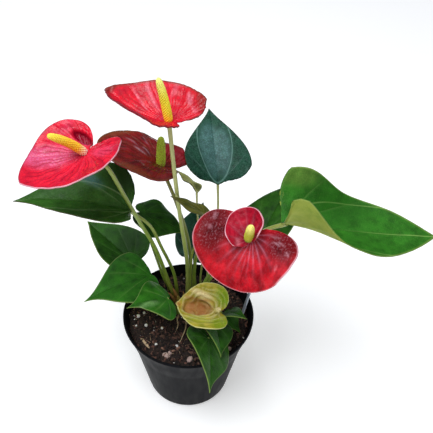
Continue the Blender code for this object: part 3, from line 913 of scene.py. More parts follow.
def floret_tree() -> NodeTree:
    """Tree that sweeps a spadix and sets its florets on it, each a golden angle on from the last."""
    tree, given = tree_with("florets on spadix", {"Path": "Geometry", "Florets": "Int",
                                                  "Floret Size": "Float", "Finish": "Material"})
    curve, thick, core = sweep(tree, given.outputs["Path"], SPADIX_SIDES)
    line = add(tree, "GeometryNodeMeshLine", {"Count": given.outputs["Florets"]})
    index = add(tree, "GeometryNodeInputIndex").outputs["Index"]
    middle = add(tree, "ShaderNodeMath", {0: index, 1: 0.5}, operation="ADD")
    factor = add(tree, "ShaderNodeMath", {0: middle.outputs[0], 1: given.outputs["Florets"]},
                 operation="DIVIDE").outputs[0]
    spot = add(tree, "GeometryNodeSampleCurve", {"Curves": curve, "Value": thick, "Factor": factor},
               data_type="FLOAT", mode="FACTOR")
    angle = add(tree, "ShaderNodeMath", {0: index, 1: GOLDEN_ANGLE}, operation="MULTIPLY")
    out = add(tree, "ShaderNodeVectorRotate",
              {"Vector": spot.outputs["Normal"], "Axis": spot.outputs["Tangent"], "Angle": angle.outputs[0]},
              rotation_type="AXIS_ANGLE").outputs["Vector"]
    reach = add(tree, "ShaderNodeVectorMath", {0: out, "Scale": spot.outputs[0]}, operation="SCALE")
    place = add(tree, "ShaderNodeVectorMath", {0: spot.outputs["Position"], 1: reach.outputs["Vector"]},
                operation="ADD")
    rows = line.outputs["Mesh"]
    for name, value in (("along", factor), ("raised", 1.0)):
        rows = add(tree, "GeometryNodeStoreNamedAttribute", {"Geometry": rows, "Name": name, "Value": value},
                   data_type="FLOAT", domain="POINT").outputs["Geometry"]
    spaced = add(tree, "GeometryNodeSetPosition", {"Geometry": rows, "Position": place.outputs["Vector"]})
    facing = add(tree, "FunctionNodeAlignRotationToVector", {"Vector": out}, axis="Z")
    bud = add(tree, "GeometryNodeMeshUVSphere", {"Segments": 6, "Rings": 4, "Radius": 1.0})
    flat = add(tree, "GeometryNodeTransform", {"Geometry": bud.outputs["Mesh"], "Scale": (1.0, 1.0, 0.75)})
    buds = add(tree, "GeometryNodeInstanceOnPoints",
               {"Points": spaced.outputs["Geometry"], "Instance": flat.outputs["Geometry"],
                "Rotation": facing.outputs["Rotation"], "Scale": given.outputs["Floret Size"]})
    whole = add(tree, "GeometryNodeJoinGeometry", {"Geometry": core})
    tree.links.new(buds.outputs["Instances"], whole.inputs["Geometry"])
    finish_tree(tree, whole.outputs["Geometry"], given)
    return tree


def crumb_tree() -> NodeTree:
    """Tree that scatters broken crumbs over the marked top of a surface."""
    tree, given = tree_with("crumbs on soil", {"Surface": "Geometry", "Per Square Metre": "Float",
                                               "Smallest": "Vector", "Largest": "Vector", "Seed": "Int",
                                               "Finish": "Material"})
    seed = given.outputs["Seed"]
    top = add(tree, "GeometryNodeInputNamedAttribute", {"Name": "top"}, data_type="FLOAT")
    dense = add(tree, "ShaderNodeMath", {0: top.outputs["Attribute"], 1: given.outputs["Per Square Metre"]},
                operation="MULTIPLY")
    spots = add(tree, "GeometryNodeDistributePointsOnFaces",
                {"Mesh": given.outputs["Surface"], "Density": dense.outputs[0], "Seed": seed})
    toned = add(tree, "FunctionNodeRandomValue", {"Seed": seed}, data_type="FLOAT")
    marked = add(tree, "GeometryNodeStoreNamedAttribute",
                 {"Geometry": spots.outputs["Points"], "Name": "tone", "Value": toned.outputs["Value"]},
                 data_type="FLOAT", domain="POINT")
    ball = add(tree, "GeometryNodeMeshIcoSphere", {"Radius": 1.0, "Subdivisions": 2})
    rough = add(tree, "ShaderNodeTexNoise", {"Scale": 1.3, "Detail": 2.0})
    centred = add(tree, "ShaderNodeVectorMath", {0: rough.outputs["Color"], 1: (0.5, 0.5, 0.5)},
                  operation="SUBTRACT")
    pushed = add(tree, "ShaderNodeVectorMath", {0: centred.outputs["Vector"], "Scale": 1.5},
                 operation="SCALE")
    crumb = add(tree, "GeometryNodeSetPosition", {"Geometry": ball.outputs["Mesh"],
                                                  "Offset": pushed.outputs["Vector"]})
    turn, size = (add(tree, "FunctionNodeRandomValue", {"Min": low, "Max": high, "Seed": seed},
                      data_type="FLOAT_VECTOR").outputs["Value"]
                  for low, high in (((0.0,) * 3, (6.283,) * 3),
                                    (given.outputs["Smallest"], given.outputs["Largest"])))
    turned = add(tree, "FunctionNodeEulerToRotation", {"Euler": turn})
    crumbs = add(tree, "GeometryNodeInstanceOnPoints",
                 {"Points": marked.outputs["Geometry"], "Instance": crumb.outputs["Geometry"],
                  "Rotation": turned.outputs["Rotation"], "Scale": size})
    finish_tree(tree, crumbs.outputs["Instances"], given)
    return tree


@dataclass
class Lattice:
    """Points of a flat blade in mm, in rings from its joint to its rim, and their place among the veins.

    reach runs from 0 at the joint to 1 at the rim, share is that of a vein, place runs from 0 to 1
    across a cell between two veins, middle is 1 on the midrib and lobe rises to 1 on the lobes.
    """

    flat: np.ndarray
    faces: list
    reach: np.ndarray
    share: np.ndarray
    place: np.ndarray
    cell: np.ndarray
    middle: np.ndarray
    lobe: np.ndarray


@dataclass(frozen=True)
class Relief:
    """Living relief of a blade, in mm: veins pressed in, cushions between them, pleats and wrinkles.

    veins are the directions in degrees off the midrib at which main veins reach the rim, arcing is
    how far they bow, and lateral the strength of theirs beside the midrib's. furrow_shade is the share
    of painted shade, in the tone of the stains, in the furrows of the pleats and of the crimps, crimp
    the height of the wrinkles at the rim of the lobes, and flush_fade tells how fast the pale tone by
    the stem and its painted highlight fade toward the rim.
    """

    veins: tuple[float, ...] = (24, 52, 90, 128)
    arcing: float = 20
    lateral: float = 1.0
    groove: float = 0.35
    cushion: float = 0.5
    pinnate: float = 0.12
    pinnate_gap: float = 7.5
    ripple: float = 0.0
    ripples: float = 5.0
    pleat: float = 0.0
    pleats: float = 3.0
    swell: float = 0.5
    crimp: float = 0.0
    crimps: float = 3.0
    furrow_shade: float = 0.0
    flush_fade: float = 1.2
    cells: int = 9
    rings: int = 26
    fade: float = 2.5

    def vein(self, lay: Lattice) -> np.ndarray:
        """Share of the vein at each point, which fades toward the rim."""
        return lay.share * np.where(lay.middle > 0, 1 - MIDRIB_FADE * lay.reach, 1 - lay.reach ** self.fade)

    def folds(self, lay: Lattice, drift: np.ndarray) -> tuple[np.ndarray, np.ndarray]:
        """Lays pleats along the cells and crimps round the lobes.

        Args:
            lay: the blade's points
            drift: slow noise that bends the folds

        Returns:
            the pleats and the crimps, each from -1 to 1
        """
        window = ease(lay.reach / 0.35) * (1 - lay.reach ** 6) * np.sin(np.pi * lay.place) ** 0.5
        pleats = window * np.sin(2 * math.pi * self.pleats * lay.place + 4 * drift + lay.cell)
        crimps = (lay.lobe * ease((lay.reach - 0.5) / 0.35)
                  * np.sin(2 * math.pi * self.crimps * lay.place + 3 * drift))
        return pleats, crimps

    def height(self, lay: Lattice, verts: np.ndarray) -> np.ndarray:
        """Adds cushions, side veins, ripples and the slow swell.

        Args:
            lay: the blade's points
            verts: the same points in their place in space

        Returns:
            height of the skin over the bare blade at each point
        """
        dome = np.sin(np.pi * lay.place) ** 0.8 * lay.reach ** 0.7 * (1 - lay.reach ** 8)
        height = self.cushion * dome - self.groove * self.vein(lay) * (1 - lay.reach ** 4)
        slanted = lay.flat[:, 0] - SIDE_VEIN_SLANT * np.abs(lay.flat[:, 1])
        height += self.pinnate * np.sin(2 * math.pi * slanted / self.pinnate_gap) * dome
        rippled = np.sin(2 * math.pi * self.ripples * lay.reach + RIPPLE_SHIFT * lay.cell)
        height += self.ripple * dome * rippled
        for size, share in SWELL_LUMPS:
            lumps = np.array([noise.noise(Vector(vert) / size) for vert in verts])
            height += share * self.swell * lay.reach * lumps
        return height


@dataclass(frozen=True)
class Patch:
    """One soft oval on a blade, in mm on the flat blade, that dents it, gives it stains and tints, and paints
    shade and sheen on it.

    turn is the angle in degrees of its long side off the midrib, ridge the height of the wrinkles
    that ring it and ridges their number between its middle and its edge. crest_highlight paints a
    highlight in the pale tone on the tops of the wrinkles, and trough_shade paints shade into the
    lines between them.
    """

    x: float
    y: float
    long: float
    wide: float
    turn: float = 0.0
    stain_and_shade: float = 0.0
    tint_and_sheen: float = 0.0
    flush_and_highlight: float = 0.0
    dent: float = 0.0
    ridge: float = 0.0
    ridges: float = 3.0
    crest_highlight: float = 0.0
    trough_shade: float = 0.0
    crisp: float = 4.0

    def distance(self, flat: np.ndarray) -> np.ndarray:
        """Measures how far flat points are from the oval's middle.

        Args:
            flat: points on the flat blade in mm

        Returns:
            distance of each, which is 1 at the oval's edge
        """
        turn = math.radians(self.turn)
        x, y = flat[:, 0] - self.x, flat[:, 1] - self.y
        along = (x * math.cos(turn) + y * math.sin(turn)) / self.long
        across = (y * math.cos(turn) - x * math.sin(turn)) / self.wide
        return np.hypot(along, across)

    def press(self, flat: np.ndarray, drift: np.ndarray, marks: dict[str, np.ndarray]) -> np.ndarray:
        """Draws the patch into the blade's marks.

        Args:
            flat: points on the flat blade in mm
            drift: slow noise that bends the wrinkles
            marks: the blade's marks, which the patch raises

        Returns:
            height that the patch adds at each point
        """
        off = self.distance(flat)
        soft = np.exp(-off ** self.crisp)
        wrinkle = np.sin(2 * math.pi * self.ridges * off + 6 * drift) * np.exp(-(off / 1.3) ** 4)
        # Stains also carry painted shade, tints painted sheen, and the wrinkles' tops and lines painted
        # highlight and shade
        for key, mark in (("stain_and_shade", self.stain_and_shade * soft), ("tint_and_sheen", self.tint_and_sheen * soft),
                          ("flush_and_highlight", self.flush_and_highlight * soft), ("flush_and_highlight", self.crest_highlight * np.clip(wrinkle, 0, 1) ** 2),
                          ("stain_and_shade", self.trough_shade * np.clip(-wrinkle, 0, 1) ** 3)):
            marks[key] = np.maximum(marks[key], mark)
        return self.ridge * wrinkle - self.dent * soft


@dataclass
class Blade:
    """One leaf blade or spathe, with a face above, a face below and a rim."""

    node: str
    slot: str
    shape: BladeShape
    above: CuticleFinish
    below: CuticleFinish
    edge: CuticleFinish
    relief: Relief
    sheet: float = LEAF_SHEET
    patches: tuple[Patch, ...] = ()

    def spokes(self, side: int) -> tuple[np.ndarray, np.ndarray, np.ndarray, np.ndarray]:
        """Places one half's spokes so that its veins lie on spokes and its cushions between.

        Args:
            side: 1 for the left half and -1 for the right

        Returns:
            rim points, vein share, place within the cell from 0 to 1 and cell number of each spoke
        """
        relief = self.relief
        outline = self.shape.half_outline(side)
        run = run_along(outline)
        run /= run[-1]
        off = np.degrees(np.arctan2(np.abs(outline[:, 1]), outline[:, 0]))
        off[0], off[-1] = 180, 0
        off = np.minimum.accumulate(off)
        stops = {float(np.interp(vein, off[::-1], run[::-1])) for vein in relief.veins}
        stops = sorted(stops | {0.0, 1.0})
        inside = (1 - np.cos(np.pi * np.linspace(0, 1, relief.cells + 1))) / 2
        veins = np.zeros(relief.cells)
        veins[0] = relief.lateral
        veins[[1, -1]] = VEIN_SHOULDER * relief.lateral
        gaps = len(stops) - 1
        at = [low + (high - low) * part for low, high in zip(stops, stops[1:]) for part in inside[:-1]]
        at.append(1.0)
        share = np.append(np.tile(veins, gaps), 1.0)
        share[0] = 0.0
        place = np.append(np.tile(inside[:-1], gaps), 1.0)
        cell = np.append(np.repeat(np.arange(gaps, dtype=float), relief.cells), gaps - 1)
        rim = np.stack([np.interp(at, run, outline[:, 0]), np.interp(at, run, outline[:, 1])], -1)
        return rim, share, place, cell

    def lattice(self) -> Lattice:
        """Lays the flat blade's points on arcs from the joint to the rim."""
        rings = self.relief.rings
        left, right = self.spokes(1), self.spokes(-1)
        rim, share, place, cell = (np.concatenate([a, b[-2:0:-1]]) for a, b in zip(left, right))
        side = np.concatenate([np.ones(len(left[0])), -np.ones(len(right[0]) - 2)])
        count = len(rim)
        off = np.arctan2(np.abs(rim[:, 1]), rim[:, 0])
        swing = math.radians(self.relief.arcing) * np.sin(np.clip(off, 0, math.pi)) ** 2 * side
        control = 0.5 * np.stack([rim[:, 0] * np.cos(swing) - rim[:, 1] * np.sin(swing),
                                  rim[:, 0] * np.sin(swing) + rim[:, 1] * np.cos(swing)], -1)
        reach = 1 - (1 - np.linspace(0, 1, rings + 1)[1:]) ** RING_SPREAD
        f = reach[:, None, None]
        flat = (2 * f * (1 - f) * control[None] + f * f * rim[None]).reshape(-1, 2)
        faces = [(0, 1 + (i + 1) % count, 1 + i) for i in range(count)]
        for k in range(rings - 1):
            a, b = 1 + k * count, 1 + (k + 1) * count
            for i in range(count):
                j = (i + 1) % count
                faces.append((a + i, a + j, b + j, b + i))
        share, place, cell, middle, lobe = (
            np.concatenate([[joint], np.tile(spokes, rings)])
            for joint, spokes in ((share[0], share), (place[0], place), (cell[0], cell),
                                  (1.0, (off < 1e-4) * 1.0), (0.0, ease((off - LOBE_FROM) / LOBE_OVER))))
        reach = np.concatenate([[0.0], np.repeat(reach, count)])
        return Lattice(np.vstack([[[0.0, 0.0]], flat]), faces, reach, share, place, cell, middle, lobe)

    def draw(self, lay: Lattice, verts: np.ndarray) -> tuple[np.ndarray, dict[str, np.ndarray]]:
        """Draws the blade's relief and its marks.

        Args:
            lay: the blade's points
            verts: the same points in their place in space

        Returns:
            height of the skin at each point, and its marks by attribute name
        """
        relief = self.relief
        drift = np.array([noise.noise(Vector((x, y, 7.0)) / DRIFT_SIZE) for x, y in lay.flat])
        pleats, crimps = relief.folds(lay, drift)
        # The furrows of the pleats and crimps get painted shade, and the pale tone by the stem is partly
        # painted highlight
        furrows = np.clip(-FURROW_SHARP * pleats, 0, 1) ** 2
        furrows = furrows + (relief.crimp > 0) * np.clip(-crimps, 0, 1) ** 2
        flush_and_highlight = (0.12 + 0.88 * np.cos(np.pi * lay.place) ** 6) * (1 - lay.reach) ** relief.flush_fade
        marks = {"stain_and_shade": relief.furrow_shade * np.clip(furrows, 0, 1), "tint_and_sheen": np.zeros(len(verts)),
                 "flush_and_highlight": flush_and_highlight, "vein": relief.vein(lay), "reach": lay.reach}
        height = relief.height(lay, verts) + relief.pleat * pleats + relief.crimp * crimps
        for patch in self.patches:
            height += patch.press(lay.flat, drift, marks)
        # The painted sheen is kept off the shaded furrows
        marks["tint_and_sheen"] *= 1 - np.clip(relief.furrow_shade * furrows, 0, 1)
        return height, marks

    def mesh(self) -> Mesh:
        """Builds the blade's skin with its relief, flat map and marks."""
        lay = self.lattice()
        verts = self.shape.placed(lay.flat)
        height, marks = self.draw(lay, verts)
        mesh = mesh_of(self.node, verts, lay.faces)
        normals = np.empty(len(verts) * 3, np.float32)
        mesh.vertex_normals.foreach_get("vector", normals)
        verts = verts + normals.reshape(-1, 3) * height[:, None]
        mesh.vertices.foreach_set("co", (verts * MM).astype(np.float32).ravel())
        set_marks(mesh, marks)
        corners = np.empty(len(mesh.loops), np.int32)
        mesh.loops.foreach_get("vertex_index", corners)
        mesh.uv_layers.new(name="flat").data.foreach_set("uv", (lay.flat[corners] / MAP_UNIT + 1.0).ravel())
        mesh.update()
        return mesh

    def build(self) -> Object:
        """Builds the blade, gives it its thickness and dresses its three faces."""
        mesh = self.mesh()
        for finish in (self.above, self.below, self.edge):
            mesh.materials.append(finish.material())
        piece = show(f"{self.node}_skin", mesh)
        sheet = piece.modifiers.new("Sheet", "SOLIDIFY")
        sheet.thickness = self.sheet * MM
        sheet.offset = 0
        sheet.use_even_offset = False
        sheet.material_offset = 1
        sheet.material_offset_rim = 2
        return settle(piece, self.slot, self.node)


@dataclass
class Stalk:
    """A leaf stem or flower stalk: a tube from its hole in the soil to the blade that it carries.

    knuckle is its swelling under the blade and sheath the one above the soil, each as a factor on
    its radius, with their place and length in mm. It runs straight over the last stretch of neck mm,
    ends meet mm short of the joint, and is sampled every step mm.
    """

    node: str
    radius: float
    foot: tuple[float, float]
    passes: list[tuple[float, float, float]]
    shape: BladeShape
    finish: StalkFinish
    knuckle: float = 1.3
    knuckle_length: float = 7.0
    sheath: float = 1.35
    sheath_from: float = 12.0
    sheath_at: float = 16.0
    sheath_length: float = 14.0
    taper: float = 0.18
    neck: float = 4.0
    meet: float = 0.1
    step: float = 2.0
    sides: int = 14

    def build(self, tree: NodeTree) -> Object:
        """Sweeps the stalk.

        Args:
            tree: the tube tree

        Returns:
            the finished piece
        """
        joint = self.shape.joint
        away = np.array(self.passes[-1], float) - joint
        away /= np.linalg.norm(away)
        points = [*((*self.foot, z) for z in STEM_FOOT_HEIGHTS), *self.passes,
                  tuple(joint + self.neck * away), tuple(joint + self.meet * away)]
        path = curve_through(points, self.step)
        run = run_along(path)
        left = run[-1] - run
        thick = self.radius * (1 - self.taper * run / run[-1])
        thick *= 1 + (self.knuckle - 1) * np.exp(-(left / self.knuckle_length) ** 2)
        swelling = np.exp(-((run - self.sheath_at) / self.sheath_length) ** 2) * (run > self.sheath_from)
        thick *= 1 + (self.sheath - 1) * swelling
        mesh = grow(self.node, path_mesh(self.node, path, thick), tree,
                    {"Sides": self.sides, "Finish": self.finish.material()})
        return settle(show(f"{self.node}_rind", mesh), "stem", self.node)


@dataclass
class Spadix:
    """The finger of florets that stands on a spathe.

    gap is the space under its foot and ends what its rounded ends add to its length, in mm, and
    floret_gap the spacing of its florets as a multiple of their size.
    """

    node: str
    slot: str
    shape: BladeShape
    way: tuple[float, float, float]
    length: float
    radius: float
    finish: SpadixFinish
    bow: tuple[float, float, float] = (0.0, 0.0, 0.0)
    floret: float = 0.7
    gap: float = 0.4
    ends: float = 1.6
    steps: int = 40
    floret_gap: float = 1.5

    def build(self, tree: NodeTree) -> Object:
        """Sweeps the spadix and sets its florets.

        Args:
            tree: the floret tree

        Returns:
            the finished piece
        """
        way = np.array(self.way, float) / np.linalg.norm(self.way)
        share = np.linspace(0, 1, self.steps + 1)
        path = self.shape.joint + np.outer(self.gap + share * (self.length + self.ends), way)
        path += np.outer(np.sin(math.pi * share), self.bow)
        thick = self.radius * np.interp(share, *zip(*SPADIX_TAPER))
        area = 2 * math.pi * float(np.mean(thick)) * self.length
        count = round(area / (self.floret_gap * self.floret) ** 2)
        mesh = grow(self.node, path_mesh(self.node, path, thick), tree,
                    {"Florets": count, "Floret Size": self.floret * MM, "Finish": self.finish.material()})
        return settle(show(f"{self.node}_florets", mesh), self.slot, self.node)


def turn_profile(profile: list[tuple[float, float]], segments: int) -> tuple[list, list]:
    """Turns a profile that starts and ends on the axis into a closed body.

    Args:
        profile: radius and height of each point in mm
        segments: number of steps round the axis

    Returns:
        points and faces
    """
    inner = profile[1:-1]
    verts = [(0.0, 0.0, profile[0][1])]
    for r, z in inner:
        verts += ring(r, z, segments)
    verts.append((0.0, 0.0, profile[-1][1]))
    end = len(verts) - 1
    last = 1 + (len(inner) - 1) * segments
    faces = []
    for k in range(segments):
        j = (k + 1) % segments
        faces.append((0, 1 + j, 1 + k))
        for i in range(len(inner) - 1):
            a, b = 1 + i * segments, 1 + (i + 1) * segments
            faces.append((a + k, a + j, b + j, b + k))
        faces.append((last + k, last + j, end))
    return verts, faces


@dataclass
class Pot:
    """The nursery pot: a tapered wall, a flared collar and a thin rolled lip."""

    segments: int = 144
    hole_radius: float = 3.5
    hole_circle: float = 24.0
    hole_sides: int = 24
    holes: int = 6
    lip_radius: float = 51.55
    lip_height: float = 83.7
    finish: MouldedPotFinish = MouldedPotFinish()

    def profile(self) -> list[tuple[float, float]]:
        """Section of the pot, from the axis below, up the outside and down the inside."""
        lip = [(self.lip_radius + 0.95 * math.cos(a), self.lip_height + 1.3 * math.sin(a))
               for a in np.linspace(math.radians(-50), math.radians(230), 14)]
        foot = [(0, 0.5), (28, 0.5), (29.5, 0.0), (33.2, 0.0), (34.3, 0.5), (35.1, 1.7), (35.6, 4.2)]
        outside = [(40.2, 30.0), (44.7, 55.2), (45.1, 57.2), (45.6, 59.2), (46.15, 61.2), (46.75, 63.4),
                   (49.0, 72.0), (51.0, 80.9), (51.5, 82.0)]
        inside = [(50.2, 82.4), (49.8, 81.2), (44.8, 60.8), (44.2, 59.4), (43.8, 58.0), (39.0, 31.0),
                  (34.2, 4.4), (33.2, 2.7), (30, 2.6), (0, 2.6)]
        return [*foot, *outside, *lip, *inside]

    def plugs(self) -> Object:
        """Bars through the base that stand for its drain holes."""
        verts, faces = [], []
        sides = self.hole_sides
        for number in range(self.holes):
            turn = math.radians(360 / self.holes * number + 30)
            first = len(verts)
            for z in (-2, 6):
                verts += ring(self.hole_radius, z, sides, self.hole_circle * math.cos(turn),
                              self.hole_circle * math.sin(turn))
            faces.append(tuple(first + k for k in range(sides - 1, -1, -1)))
            faces.append(tuple(first + sides + k for k in range(sides)))
            faces += [(first + k, first + (k + 1) % sides, first + sides + (k + 1) % sides, first + sides + k)
                      for k in range(sides)]
        return show("drain_plugs", mesh_of("drain_plugs", np.array(verts, float), faces))

    def build(self) -> Object:
        """Turns the pot and cuts its drain holes."""
        verts, faces = turn_profile(self.profile(), self.segments)
        pot = show("pot_wall", mesh_of("pot_wall", np.array(verts), faces))
        plugs = self.plugs()
        step = pot.modifiers.new("Drains", "BOOLEAN")
        step.object = plugs
        step.solver = "EXACT"
        bpy.context.view_layer.update()
        depsgraph = bpy.context.evaluated_depsgraph_get()
        mesh = bpy.data.meshes.new_from_object(pot.evaluated_get(depsgraph))
        pot.modifiers.remove(step)
        pot.data = mesh
        bpy.data.objects.remove(plugs, do_unlink=True)
        mesh.materials.clear()
        mesh.materials.append(self.finish.material())
        mesh.set_sharp_from_angle(angle=math.radians(40))
        return settle(pot, "pot", "pot")


def soil_height(x: float, y: float) -> float:
    """Height of the soil's surface over its middle level: a mound at the crown, waves and lumps.

    Args:
        x: place in mm
        y: place in mm

    Returns:
        height in mm
    """
    r = math.hypot(x, y)
    mound = 2.2 * math.exp(-((x + 2) ** 2 + (y - 14) ** 2) / 300)
    waves = 0.55 * math.sin(0.61 * x + 1.3) * math.cos(0.53 * y) + 0.45 * math.sin(0.37 * y - 0.29 * x)
    lumps = 1.1 * noise.noise(Vector((x, y, 3.0)) / 5.0) + 0.5 * noise.noise(Vector((x, y, 9.0)) / 2.2)
    return (1 - 0.6 * float(ease(np.array((r - 40) / 8)))) * (mound + waves) + lumps


@dataclass
class Soil:
    """Peat mix in the pot: a lumpy bed with loose crumbs, bark, fibres, perlite and a few pebbles.

    wall is the radius and height in mm of the rings under the surface, lump_rest the share of its
    half height by which a lump's middle stands over the surface, and lump_break how uneven it is.
    """

    segments: int = 120
    rings: int = 46
    rim_radius: float = 47.6
    wall: tuple[tuple[float, float], ...] = ((46.9, 71.0), (44.2, 60.6), (43.3, 58.4), (33.3, 3.0))
    lump_rest: float = 0.55
    lump_break: float = 0.35
    peat: CrumbFinish = CrumbFinish("peat_moss_damp", "#0C0807", "#2E1F18", "#54392C")
    bark: CrumbFinish = CrumbFinish("composted_bark", "#180E0A", "#66443A", "#8E6652", grain=0.9)
    chip: CrumbFinish = CrumbFinish("bark_chip_red", "#34201A", "#86604E", "#A88470", grain=1.4)
    fibre: CrumbFinish = CrumbFinish("coir_fibre", "#6A4E38", "#C2A684", "#D8BE9C", grain=0.8)
    perlite: CrumbFinish = CrumbFinish("expanded_perlite", "#CFCAC4", "#F2F0EC", "#A9A39C", grain=0.6)
    pebble: CrumbFinish = CrumbFinish("grit_pebble_pink", "#9C7F76", "#C9B0A6", "#7A6058", grain=1.6)

    def bed(self) -> Mesh:
        """Makes the closed bed, with its top marked."""
        radii = np.linspace(0, self.rim_radius, self.rings + 1)[1:]
        verts = [(0.0, 0.0, SOIL_TOP_Z + soil_height(0, 0))]
        for r in radii:
            verts += [(x, y, SOIL_TOP_Z + soil_height(x, y)) for x, y, _ in ring(r, 0, self.segments)]
        top = [1.0] * len(verts)
        for r, z in self.wall:
            verts += ring(r, z, self.segments)
        top += [0.0] * (len(verts) - len(top))
        faces = [(0, 1 + k, 1 + (k + 1) % self.segments) for k in range(self.segments)]
        total = self.rings + len(self.wall)
        for i in range(total - 1):
            a, b = 1 + i * self.segments, 1 + (i + 1) * self.segments
            faces += [(a + k, b + k, b + (k + 1) % self.segments, a + (k + 1) % self.segments)
                      for k in range(self.segments)]
        last = 1 + (total - 1) * self.segments
        faces.append(tuple(last + k for k in range(self.segments - 1, -1, -1)))
        marks = {"top": np.array(top), "tone": 0.3 * np.array(top)}
        return mesh_of("soil_bed", np.array(verts), faces, marks=marks)

    def lump(self, name: str, x: float, y: float, size: tuple[float, float, float], turn: float,
             finish: CrumbFinish, tone: float) -> Object:
        """Lays one larger piece on the soil.

        Args:
            name: name of the piece
            x: place in mm
            y: place in mm
            size: half length, half width and half height in mm
            turn: heading in degrees
            finish: its finish
            tone: share of the finish's light colour

        Returns:
            the finished piece
        """
        work = bmesh.new()
        bmesh.ops.create_icosphere(work, subdivisions=3, radius=1.0)
        c, s = math.cos(math.radians(turn)), math.sin(math.radians(turn))
        base = SOIL_TOP_Z + soil_height(x, y) + self.lump_rest * size[2]
        for vert in work.verts:
            p = vert.co * (1 + self.lump_break * noise.noise(vert.co * 1.7 + Vector((x, y, 0))))
            p = Vector((p.x * size[0], p.y * size[1], p.z * size[2]))
            vert.co = Vector((x + c * p.x - s * p.y, y + s * p.x + c * p.y, base + p.z)) * MM
        mesh = bpy.data.meshes.new(name)
        work.to_mesh(mesh)
        work.free()
        mesh.polygons.foreach_set("use_smooth", [True] * len(mesh.polygons))
        set_marks(mesh, {"tone": [tone] * len(mesh.vertices)})
        mesh.materials.append(finish.material())
        return settle(show(name, mesh), "soil")

    def build(self) -> None:
        """Builds the bed and everything that lies on it."""
        bed = self.bed()
        tree = crumb_tree()
        # Name, finish, number per square metre, smallest and largest half sizes in mm, and seed
        loose = (("soil_crumbs", self.peat, 200000, (0.6, 0.5, 0.4), (2.3, 1.8, 1.4), 11),
                 ("soil_bark", self.bark, 38000, (0.9, 0.4, 0.3), (3.4, 1.6, 1.0), 23),
                 ("soil_chips", self.chip, 13000, (1.4, 0.7, 0.4), (4.0, 2.0, 1.2), 29),
                 ("soil_fibres", self.fibre, 14000, (2.0, 0.1, 0.1), (5.6, 0.24, 0.24), 37),
                 ("soil_perlite", self.perlite, 7000, (0.4, 0.4, 0.35), (0.9, 0.8, 0.8), 41))
        for name, finish, density, low, high, seed in loose:
            mesh = grow(name, bed.copy(), tree,
                        {"Per Square Metre": float(density), "Smallest": tuple(v * MM for v in low),
                         "Largest": tuple(v * MM for v in high), "Seed": seed, "Finish": finish.material()})
            settle(show(name, mesh), "soil")
        bed.materials.append(self.peat.material())
        settle(show("soil_bed", bed), "soil", "soil")
        # Place and half length in mm
        grains = [(-41.3, -0.4, 2.0), (-36.9, 3.9, 1.3), (-33.7, -9.1, 1.5), (-20.6, -11.3, 1.2),
                  (-26.0, 1.5, 1.1), (-41.7, -9.5, 0.9), (-23.8, -26.9, 1.4), (-7.4, -27.0, 1.3),
                  (-43.3, -3.6, 1.0)]
        for number, (x, y, size) in enumerate(grains, 1):
            self.lump(f"perlite_grain_{number}", x, y, (size, 0.8 * size, 0.8 * size), 40 * number,
                      self.perlite, 0.9)
        stones = [(3.6, -39.3, 2.2), (-15.1, -36.7, 2.4), (33.3, -27.7, 1.8), (-12.3, -33.8, 1.6)]
        for number, (x, y, size) in enumerate(stones, 1):
            self.lump(f"grit_pebble_{number}", x, y, (1.3 * size, size, 0.8 * size), 70 * number,
                      self.pebble, 0.6)
        self.lump("bark_chip", -32.4, -26.0, (6.0, 1.2, 0.8), -50, self.fibre, 0.9)


